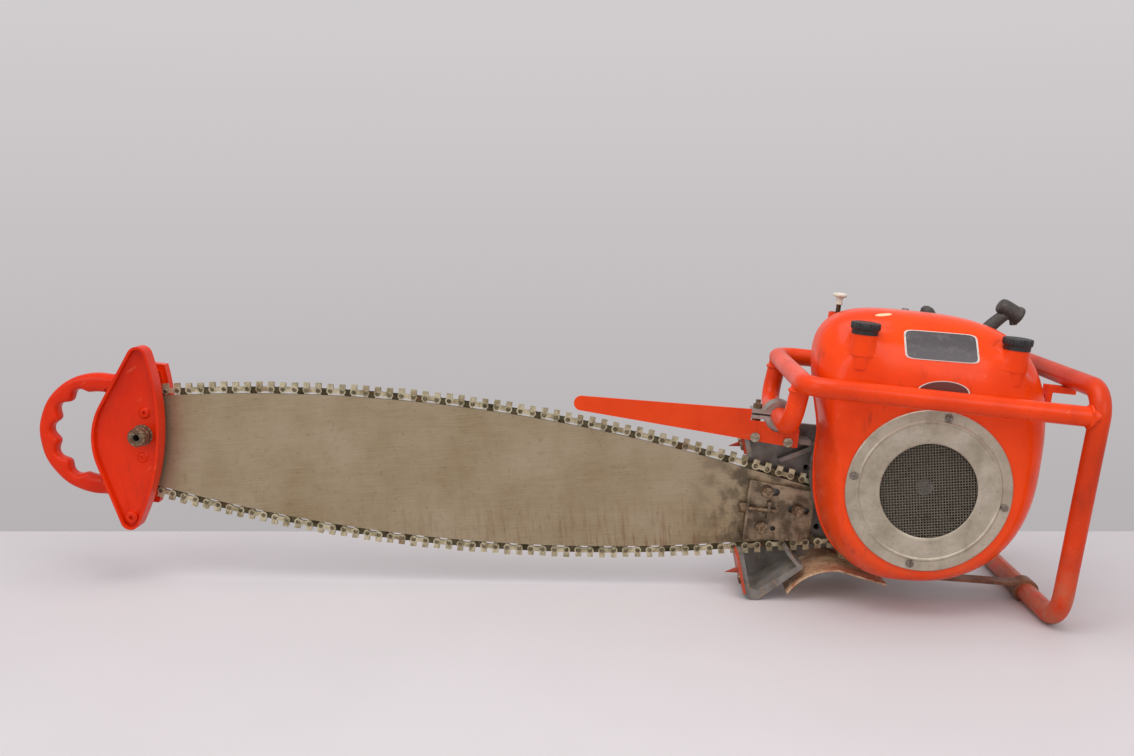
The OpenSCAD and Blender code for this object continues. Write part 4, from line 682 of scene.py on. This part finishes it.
def laid_on(finder, corners, power, grow, lift):
    """Rings of a round cornered patch laid on a surface and lifted off it. The corners are pixels, and the power
    says how square the outline is."""
    rings = []
    for share in PATCH_RINGS:
        ring = []
        for a in circle(PATCH_STEPS):
            half = 0.5 * (1 + grow) * share
            s, t = (0.5 + half * signed_power(f(a), 2 / power) for f in (math.cos, math.sin))
            weights = ((1 - s) * (1 - t), s * (1 - t), s * t, (1 - s) * t)
            u, v = (sum(w * c[k] for w, c in zip(weights, corners)) for k in (0, 1))
            hit, normal = on_surface(finder, u, v)
            ring.append(hit + normal * lift / 1000)
        rings.append(ring)
    u, v = (sum(c[k] for c in corners) / 4 for k in (0, 1))
    hit, normal = on_surface(finder, u, v)
    return rings, hit + normal * lift / 1000


def on_surface(finder, u, v):
    """The spot of a surface under a pixel, and its normal that faces out."""
    start, way = photo_ray(u, v)
    hit, normal = finder.ray_cast(start, way)[:2]
    if hit is None:
        raise RuntimeError("a plate misses the cowl")
    return hit, -normal if normal.dot(way) > 0 else normal


class SAW_OT_plates(bpy.types.Operator):
    """Lays the bare data plate, the bare oval badge and a pale streak of painted highlight on the cowl"""

    bl_idname = "saw.plates"
    bl_label = "Bare plates"

    def execute(self, context):
        finder = surface_finder("cowl_shell")
        grey = moulded_plastic("plate_screened_enamel", "#4A4547", "#6A6466", 0.35)
        white = moulded_plastic("plate_screened_white", "#CFC6BE", "#A89C93", 0.4)
        red = moulded_plastic("badge_fired_enamel", "#5E2218", "#451B14", 0.35)
        # pale cream for the streak of painted highlight on the cowl
        highlight_paint = moulded_plastic("scratch_sprayed_primer", "#F3C79C", "#E79A6E", 0.5)
        for name, corners, power, grow, lift, material, slot in (
            ("plate_border", PLATE_CORNERS, 9, 0, 0.6, white, "bare_aluminium"),
            ("plate_face", PLATE_CORNERS, 9, -0.05, 0.8, grey, "bare_aluminium"),
            # a thin streak of painted highlight on the cowl's enamel
            ("paint_scratch", HIGHLIGHT_CORNERS, 2.5, 0, 0.4, highlight_paint, "cowl_paint"),
            ("badge_rim", BADGE_CORNERS, 2, 0, 0.6, white, "bumper_paint"),
            ("badge_face", BADGE_CORNERS, 2, -0.06, 0.9, red, "bumper_paint"),
        ):
            shape = bmesh.new()
            rings, middle = laid_on(finder, corners, power, grow, lift)
            lower, under = laid_on(finder, corners, power, grow, lift - PATCH_THICK)
            made = rows_of(shape, rings + lower[::-1])
            fan(shape, made[0], shape.verts.new(middle))
            fan(shape, made[-1], shape.verts.new(under))
            piece(name, shape, material)
        return {"FINISHED"}


class SAW_OT_caps(bpy.types.Operator):
    """Builds the two ribbed filler caps"""

    bl_idname = "saw.caps"
    bl_label = "Filler caps"

    def execute(self, context):
        black = moulded_plastic("cap_moulded_phenolic", "#1B1A1A", "#3A3733", 0.38)
        r, ribs = sizes().cap_radius * 1000, sizes().cap_ribs
        for name, x in CAPS.items():
            shape = bmesh.new()
            steps = ribs * 8
            rows = []
            # radius, height and how far the ribs stand out
            profile = [
                (r - 3.4, -10.0, 0), (r - 0.9, -10.2, 0), (r - 0.8, -5, 0), (r - 0.5, -4.4, 0.3), (r, -3.4, 1),
                (r, 3.0, 1), (r - 0.5, 3.9, 0.7), (r - 1.6, 4.3, 0), (r - 4, 4.2, 0), (r - 4.6, 3.7, 0), (2.5, 3.6, 0),
            ]
            for radius, height, depth in profile:
                row = []
                for a in circle(steps):
                    reach = radius + depth * (0.5 + 0.5 * math.cos(ribs * a)) ** 0.6
                    row.append(saw(x + reach * math.cos(a), CAP_Y + reach * math.sin(a), NECK_TOP + height))
                rows.append(row)
            made = rows_of(shape, rows)
            shape.faces.new(made[-1])
            piece(name + "_ribbed", shape, black, [name], 40, name)
        return {"FINISHED"}


class SAW_OT_intake(bpy.types.Operator):
    """Finishes the intake ring and weaves the mesh behind it"""

    bl_idname = "saw.intake"
    bl_label = "Air intake"

    def execute(self, context):
        spun = spun_aluminium("ring_spun_aluminium", "#C4BAA8", "#A69B88", saw(CRANK[0], 0, CRANK[1]))
        dress(["intake_ring"], spun)
        steel = turned_steel("ring_screw_steel", "#9A9288", "#6E665C", 0.3, 0.5)
        dress(["ring_screws"], steel)
        paint = moulded_plastic("mesh_sprayed_paint", "#6E675A", "#48433A", 0.45)
        shape = bmesh.new()
        gap, half = sizes().wire_gap * 1000, sizes().wire * 1000 / 2
        reach = INTAKE_RADIUS + WEAVE_OVERLAP
        turn = Matrix.Rotation(WEAVE_LEAN, 2)
        count = int(reach // gap)
        for way in (0, 1):
            for k in range(-count, count + 1):
                u = k * gap
                run = math.sqrt(reach * reach - u * u)
                n = max(2, int(run // gap))
                rows = []
                for m in range(-2 * n, 2 * n + 1):
                    v = m * run / (2 * n)
                    over = WEAVE_WAVE * math.cos(math.pi * (v / gap + k + way))
                    row = []
                    for du, dw in ((-half, 0), (0, half), (half, 0), (0, -half)):
                        x, z = turn @ Vector((v, u + du) if way else (u + du, v))
                        row.append(saw(CRANK[0] + x, WEAVE_DEPTH - COWL_FRONT - over - dw, CRANK[1] + z))
                    rows.append(row)
                rows_of(shape, rows)
        # the mesh's rim, under the ring
        place = place_at(CRANK[0], RIM_DEPTH - COWL_FRONT, CRANK[1], 90)
        rim = [(RIM_INNER, 0), (RIM_INNER, RIM_TALL), (RIM_OUTER, RIM_TALL), (RIM_OUTER, 0), (RIM_INNER, 0)]
        turned(shape, rim, place, 96)
        bmesh.ops.remove_doubles(shape, verts=shape.verts, dist=MERGE)
        piece("intake_weave", shape, paint, ["intake_mesh"], 60)
        return {"FINISHED"}


class SAW_OT_bar(bpy.types.Operator):
    """Finishes the guide bar and the chain"""

    bl_idname = "saw.bar"
    bl_label = "Bar and chain"

    def execute(self, context):
        c = colours()
        dress(["guide_bar"], rolled_bar_steel("bar_rolled_steel", c["bar"], c["bar_brown"]))
        links = greasy_chain_steel("chain_hardened_steel", "#CFC5A6", "#968B6B")
        dress(["chain_cutter_links", "chain_raker_links"], links)
        dress(["chain_drive_links"], greasy_chain_steel("chain_oily_steel", "#5C543F", "#37301F"))
        dress(["chain_rivets"], turned_steel("rivet_headed_steel", "#8A8069", "#4E4735", 0.32, 0.5, 0.1))
        return {"FINISHED"}


def arc(middle, radius, start, end, n):
    """Points along an arc, from one angle in degrees to another."""
    return [
        (middle[0] + radius * math.cos(math.radians(a)), middle[1] + radius * math.sin(math.radians(a)))
        for a in (start + (end - start) * i / n for i in range(n + 1))
    ]


def eye_outline(inset):
    """The nose guard's outline, moved inwards, about the middle of the line between its tips."""
    tip_z = EYE_HEIGHT / 2 - EYE_TIP
    right = (tip_z**2 / (EYE_RIGHT - EYE_TIP) + EYE_TIP + EYE_RIGHT) / 2
    right_turn = math.degrees(math.atan2(tip_z, right - EYE_RIGHT))
    belly = EYE_BELLY - EYE_LEFT
    reach = math.hypot(belly, tip_z)
    left_turn = math.degrees(math.atan2(tip_z, -belly) + math.acos((EYE_BELLY - EYE_TIP) / reach))
    tip = max(EYE_TIP - inset, 0.5)
    return (
        arc((EYE_RIGHT - right, 0), right - inset, -right_turn, right_turn, 40)
        + arc((0, tip_z), tip, right_turn + 8, left_turn, 16)
        + arc((belly, 0), EYE_BELLY - inset, left_turn + 1, 359 - left_turn, 48)
        + arc((0, -tip_z), tip, 360 - left_turn, 352 - right_turn, 16)
    )


class SAW_OT_nose(bpy.types.Operator):
    """Paints the nose guard and the helper's handle, and finishes their bolts"""

    bl_idname = "saw.nose"
    bl_label = "Nose end"

    def execute(self, context):
        c = colours()
        cast = sprayed_enamel("cast_enamelled_iron", c["guard"], c["guard_shade"], "#8A4A34", 0.24, 0.3, 60, 0.33)
        dress(["nose_guard", "nose_guard_back"], cast)
        sheet = sprayed_enamel("guard_sprayed_enamel", "#E04510", "#D33A0C", "#7A2C17", 0.26, 0.0, 60)
        dress(["hand_guard"], sheet)
        self.guard_face(cast)
        self.grip(cast)
        dress(["nose_bolts"], turned_steel("nose_bolt_steel", "#8B8274", "#5D5347", 0.34, 0.55, 0.22))
        return {"FINISHED"}

    def guard_face(self, cast):
        """The dished face inside the guard's rim, with a painted boss over each small bolt."""
        shape = bmesh.new()
        rows = []
        # inset from the guard's outline, and Y
        for inset, y in (
            (GUARD_WALL - 0.6, GUARD_BACK), (GUARD_WALL - 0.6, -26.2), (GUARD_WALL + 1.2, -26.6), (9, -25.2),
            (15, -24.4), (24, GUARD_FACE),
        ):
            rows.append([saw(EYE[0] + x, y, EYE[1] + z) for x, z in eye_outline(inset)])
        capped_rows(shape, rows)
        piece("guard_dished_face", shape, cast, (), 40)
        boss = bmesh.new()
        # X, Z, radius and height of each boss
        for x, z, radius, tall in (
            (EYE[0] + 10.4, AXIS_Z + 41, 6.2, 3.0),
            (EYE[0] + 10.4, AXIS_Z - 19, 5.6, 1.4),
            (EYE[0], EYE[1] - 106.5, 8.0, 6.2),
        ):
            form = [
                (0, -3), (radius + 3, -3), (radius + 2.2, 0), (radius + 0.6, 1.2), (radius, tall - 0.8),
                (radius - 1, tall), (3, tall), (2.6, tall - 0.6), (2.4, tall - 3.2), (0, tall - 3.4),
            ]
            turned(boss, form, place_at(x, GUARD_FACE, z, 90), 36)
        piece("guard_bosses", boss, cast, (), 40)
        nut = bmesh.new()
        form = [
            (9.5, -1), (14, -1), (14, 1.2), (12.2, 2), (12.2, 7.8), (11.2, 8.6), (11.2, 10), (12.2, 10.8),
            (12.2, 18.2), (10.8, 20), (7, 20.2), (6, 19), (5.8, 15), (9.5, 14), (9.5, -1),
        ]
        turned(nut, form, place_at(EYE[0] + 8.4, GUARD_FACE, AXIS_Z + 11, 90), 48)
        bmesh.ops.remove_doubles(nut, verts=nut.verts, dist=MERGE)
        rusty = turned_steel("nose_nut_steel", "#A08E7A", "#75624F", 0.4, 0.6, 0.3)
        piece("nose_axle_nut", nut, rusty, (), 40)

    def grip(self, cast):
        """The helper's handle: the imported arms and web, and a round bow with a deep hollow for each finger."""
        node = NODES["helper_handle"]
        shape = bmesh.new()
        shape.from_mesh(node.data)
        along = (saw(1, 0, 0) - saw(0, 0, 0)).normalized()
        cut = bmesh.ops.bisect_plane(
            shape, geom=shape.verts[:] + shape.edges[:] + shape.faces[:], dist=MERGE,
            plane_co=saw(HANDLE[0] + GRIP_CUT, 0, HANDLE[1]), plane_no=along, clear_inner=True,
        )
        edges = [g for g in cut["geom_cut"] if isinstance(g, bmesh.types.BMEdge)]
        bmesh.ops.edgenet_fill(shape, edges=edges)
        rows = []
        for k in range(GRIP_STEPS + 1):
            a = GRIP_START + GRIP_SPAN * k / GRIP_STEPS
            # the hollows are laid out about the middle of the bow
            finger = (a - 180) / FINGER_TURN
            hollow = 1 - abs(math.sin(math.pi * finger)) ** FINGER_SHARP
            depth = FINGER_DEPTH * hollow if abs(finger) < FINGERS / 2 else 0
            half = (HANDLE_THICK - depth) / 2
            ca, sa = math.cos(math.radians(a)), math.sin(math.radians(a))
            row = []
            for b in circle(GRIP_SIDES):
                radius = HANDLE_OUTER - half + half * signed_power(math.sin(b), GRIP_SQUARE)
                across = HANDLE_HALF * signed_power(math.cos(b), GRIP_SQUARE)
                row.append(saw(HANDLE[0] + radius * ca, across, HANDLE[1] + radius * sa))
            rows.append(row)
        capped_rows(shape, rows)
        piece("helper_finger_grip", shape, cast, ["helper_handle"], 40)


class SAW_OT_mount(bpy.types.Operator):
    """Finishes the bracket, its plates and its bolts"""

    bl_idname = "saw.mount"
    bl_label = "Bar mount"

    def execute(self, context):
        iron = sand_cast("bracket_sand_cast_alloy", "#8F8A84", "#6B665F", "#9C8468", 0.35, 0.35)
        dress(["bar_bracket"], iron)
        alloy = sand_cast("collar_sand_cast_alloy", "#B9B4AC", "#8D877E", "#6C5C4A", 0.1, 0.8)
        dress(["frame_clamp"], alloy)
        red = sprayed_enamel("bumper_worn_enamel", "#C03A20", "#8F2E1C", "#5A4034", 0.45, 0.6, 120, rough=0.45)
        dress(["bumper_plates"], red)
        dress(["clamp_plate"], rolled_bar_steel("plate_rolled_steel", "#A5937A", "#83705A"))
        bolts = turned_steel("bolt_oiled_steel", "#A08E74", "#6A5B48", 0.4, 0.6, 0.24)
        dress(["bar_bolts", "bumper_bolts", "clamp_bolt", "tension_screw", "cowl_bolts"], bolts)
        dress(["guard_screws"], turned_steel("guard_screw_steel", "#BDB19C", "#8B7E6A", 0.3, 0.5, 0.1))
        strap = sprayed_enamel("strap_brushed_paint", "#6E4A38", "#553A2E", "#3A2A22", 0.4, 0.8, 160, rough=0.55)
        dress(["skid_strap"], strap)
        return {"FINISHED"}


class SAW_OT_engine(bpy.types.Operator):
    """Finishes the engine behind the cowl"""

    bl_idname = "saw.engine"
    bl_label = "Engine"

    def execute(self, context):
        alloy = sand_cast("case_sand_cast_alloy", "#8F8C87", "#6C6862", "#4E4234", 0.25, 0.7)
        dress(["crankcase", "fan_back_plate", "gearcase", "gearcase_cover", "clutch_cover"], alloy)
        dress(["carburettor", "throttle_perch"], alloy)
        fins = sand_cast("barrel_sand_cast_iron", "#5B5650", "#3C3833", "#4A3A2C", 0.3, 0.5)
        dress(["finned_barrel"], fins)
        dress(["cylinder_head"], sand_cast("head_sand_cast_alloy", "#A09C95", "#7B766E", "#54483A", 0.2, 0.75))
        gear = turned_steel("gear_hobbed_steel", "#8E9091", "#5F6061", 0.25, 0.45, 0.05)
        dress(["bearings", "crankshaft", "clutch_drum", "driven_gear", "drive_sprocket"], gear)
        dress(["starter_pulley", "piston"], turned_steel("turned_aluminium", "#B4B1AB", "#8E8A83", 0.3, 0.45, 0.0))
        dress(["clutch_shoes"], moulded_plastic("pressed_friction_lining", "#6B4A35", "#4B3527", 0.7, 1.5))
        dress(["spark_plug"], moulded_plastic("glazed_plug_ceramic", "#E6E2DA", "#C9C2B6", 0.15))
        rubber = moulded_plastic("boot_moulded_rubber", "#3B3632", "#75695B", 0.6)
        dress(["air_filter"], rubber)
        self.fittings(rubber)
        dress(["throttle_lever"], turned_steel("lever_pressed_steel", "#9C958A", "#6B645A", 0.3, 0.5, 0.15))
        dress(["flywheel"], sand_cast("fan_sand_cast_alloy", "#2E2C28", "#1C1A17", "#14110E", 0.3, 0.4))
        dress(["oil_spring"], turned_steel("spring_drawn_steel", "#9A9A98", "#6C6C6A", 0.25, 0.4, 0.05))
        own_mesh(NODES["oil_spring"])
        return {"FINISHED"}

    def fittings(self, rubber):
        """The plug's elbow cap, the carburettor's cable boot, and the oil pump's rod and knob."""
        # elbow cap: a sleeve over the plug, and a head that lies across it
        shape = bmesh.new()
        swell = [9.2, 10, 10, 9.2] + [9 - 0.1 * k for k in range(17)]
        tube(shape, bend(PLUG_PATH, 20), swell, 28)
        # where the lead goes in, under the head
        stub = [saw(PLUG_HEAD[0] + x, CYLINDER_Y, PLUG_HEAD[2] + z) for x, z in ((5, -6), (7, -17))]
        tube(shape, stub, [5.2, 4.6], 20)
        drum = [
            (0, -16.5), (7, -16.3), (9, -15), (10.4, -11), (10.8, -4), (10.6, 7), (11.2, 8.5), (12, 9.8), (12, 13.5),
            (11, 15), (5.6, 15.2), (5, 14), (0, 14),
        ]
        turned(shape, drum, place_at(*PLUG_HEAD, 115, "Y"), 40)
        piece("plug_elbow_cap", shape, rubber, ["plug_cap"], 40)
        shape = bmesh.new()
        # rings of a bellows that tapers towards the cable
        swell = [12.5 - 3.5 * k / 24 + (0.7 if k % 4 < 2 and k < 20 else 0) for k in range(25)]
        swell[-3:] = [8.2, 6.6, 3]
        tube(shape, bend(BOOT_PATH, 24), swell, 28)
        piece("carburettor_cable_boot", shape, rubber, (), 30)
        nylon = moulded_plastic("knob_moulded_nylon", "#DCD4C4", "#B3A48A", 0.4)
        steel = turned_steel("pump_rod_steel", "#5A5046", "#3C332A", 0.35, 0.55, 0.3)
        place = place_at(*PUMP, PUMP_TOP)
        shape = bmesh.new()
        rod = [(0, -38), (8.4, -38), (8.4, -33), (3, -32.5), (3, 11.5), (0, 11.5)]
        turned(shape, rod, place, 32)
        piece("oil_pump_rod", shape, steel, ["oil_plunger"], 40, "oil_plunger")
        shape = bmesh.new()
        knob = [
            (0, 10.1), (4, 10.1), (4.6, 10.9), (4.2, 15), (4, 17.8), (5, 19.2), (8, 20), (8.9, 21), (9, 22.6),
            (8.4, 23.8), (6.2, 24.7), (3, 25.1), (0, 25.2),
        ]
        turned(shape, knob, place, 48)
        piece("oil_pump_knob", shape, nylon, (), 40, "oil_plunger")


class SAW_OT_exhaust(bpy.types.Operator):
    """Finishes the silencer and its deflector"""

    bl_idname = "saw.exhaust"
    bl_label = "Exhaust"

    def execute(self, context):
        dress(["exhaust_deflector", "muffler"], burnt_sheet("exhaust_burnt_sheet"))
        return {"FINISHED"}


class SAW_OT_stage(bpy.types.Operator):
    """Lays the pale floor and sets the soft studio light"""

    bl_idname = "saw.stage"
    bl_label = "Studio"

    def execute(self, context):
        paper = studio_paper("studio_paper", colours()["floor"], "#CBC7C9")
        camera = context.scene.camera
        ahead = Matrix.Rotation(CAMERA_YAW, 3, "Z") @ Vector((0, 1, 0))
        side = Vector((ahead.y, -ahead.x, 0))
        eye = Vector((camera.location.x, camera.location.y, 0))
        # the far edge is the photograph's floor line
        reaches = (FLOOR_BACK, FLOOR_BACK, WALL_REACH, WALL_REACH)
        corners = [eye + r * ahead + k * FLOOR_SIDE * side for r, k in zip(reaches, (-1, 1, 1, -1))]
        mesh = bpy.data.meshes.new("studio_floor")
        mesh.from_pydata([tuple(p) for p in corners], [], [(0, 1, 2, 3)])
        mesh.materials.append(paper)
        floor = bpy.data.objects.new("studio_floor", mesh)
        floor.location.z = -FLOOR_DROP
        context.scene.collection.objects.link(floor)
        world = bpy.data.worlds.new("studio_wall")
        context.scene.world = world
        world.use_nodes = True
        tree = world.node_tree
        tree.nodes.clear()
        way = add(tree, "TexCoord").outputs["Generated"]
        z = add(tree, "SeparateXYZ", (way,)).outputs["Z"]
        wall = layered(tree, "#B5B1B2", (add(tree, "MapRange", (z, -0.28, 0.15)), "#D1CDCF"))
        shader = add(tree, "Background", {"Color": wall, "Strength": 1.0})
        add(tree, "OutputWorld", {"Surface": shader})
        for name, spot, aim, size, power in SOFTBOXES:
            lamp = bpy.data.lights.new(name, "AREA")
            lamp.energy, lamp.size = power, size
            holder = bpy.data.objects.new(name, lamp)
            holder.location = spot
            holder.rotation_euler = (Vector(aim) - Vector(spot)).to_track_quat("-Z", "Y").to_euler()
            context.scene.collection.objects.link(holder)
        context.scene.view_settings.view_transform = "Standard"
        return {"FINISHED"}


OPERATORS = (
    SAW_OT_camera, SAW_OT_tubes, SAW_OT_cowl, SAW_OT_plates, SAW_OT_caps, SAW_OT_intake, SAW_OT_bar, SAW_OT_nose,
    SAW_OT_mount, SAW_OT_engine, SAW_OT_exhaust, SAW_OT_stage,
)


class SAW_PT_panel(bpy.types.Panel):
    """Lists the saw's pieces and settings"""

    bl_idname = "SAW_PT_panel"
    bl_label = "Two man chainsaw"
    bl_space_type = "VIEW_3D"
    bl_region_type = "UI"
    bl_category = "Saw"

    def draw(self, context):
        for group in (context.scene.saw_sizes, context.scene.saw_colours):
            for key in group.__annotations__:
                self.layout.prop(group, key)
        for operator in OPERATORS:
            self.layout.operator(operator.bl_idname)


CLASSES = (SawSizes, SawColours, *OPERATORS, SAW_PT_panel)


def register():
    for cls in CLASSES:
        bpy.utils.register_class(cls)
    bpy.types.Scene.saw_sizes = PointerProperty(type=SawSizes)
    bpy.types.Scene.saw_colours = PointerProperty(type=SawColours)


def unregister():
    del bpy.types.Scene.saw_colours
    del bpy.types.Scene.saw_sizes
    for cls in reversed(CLASSES):
        bpy.utils.unregister_class(cls)


def main():
    register()
    for operator in OPERATORS:
        group, name = operator.bl_idname.split(".")
        getattr(getattr(bpy.ops, group), name)()


if __name__ == "__main__":
    main()
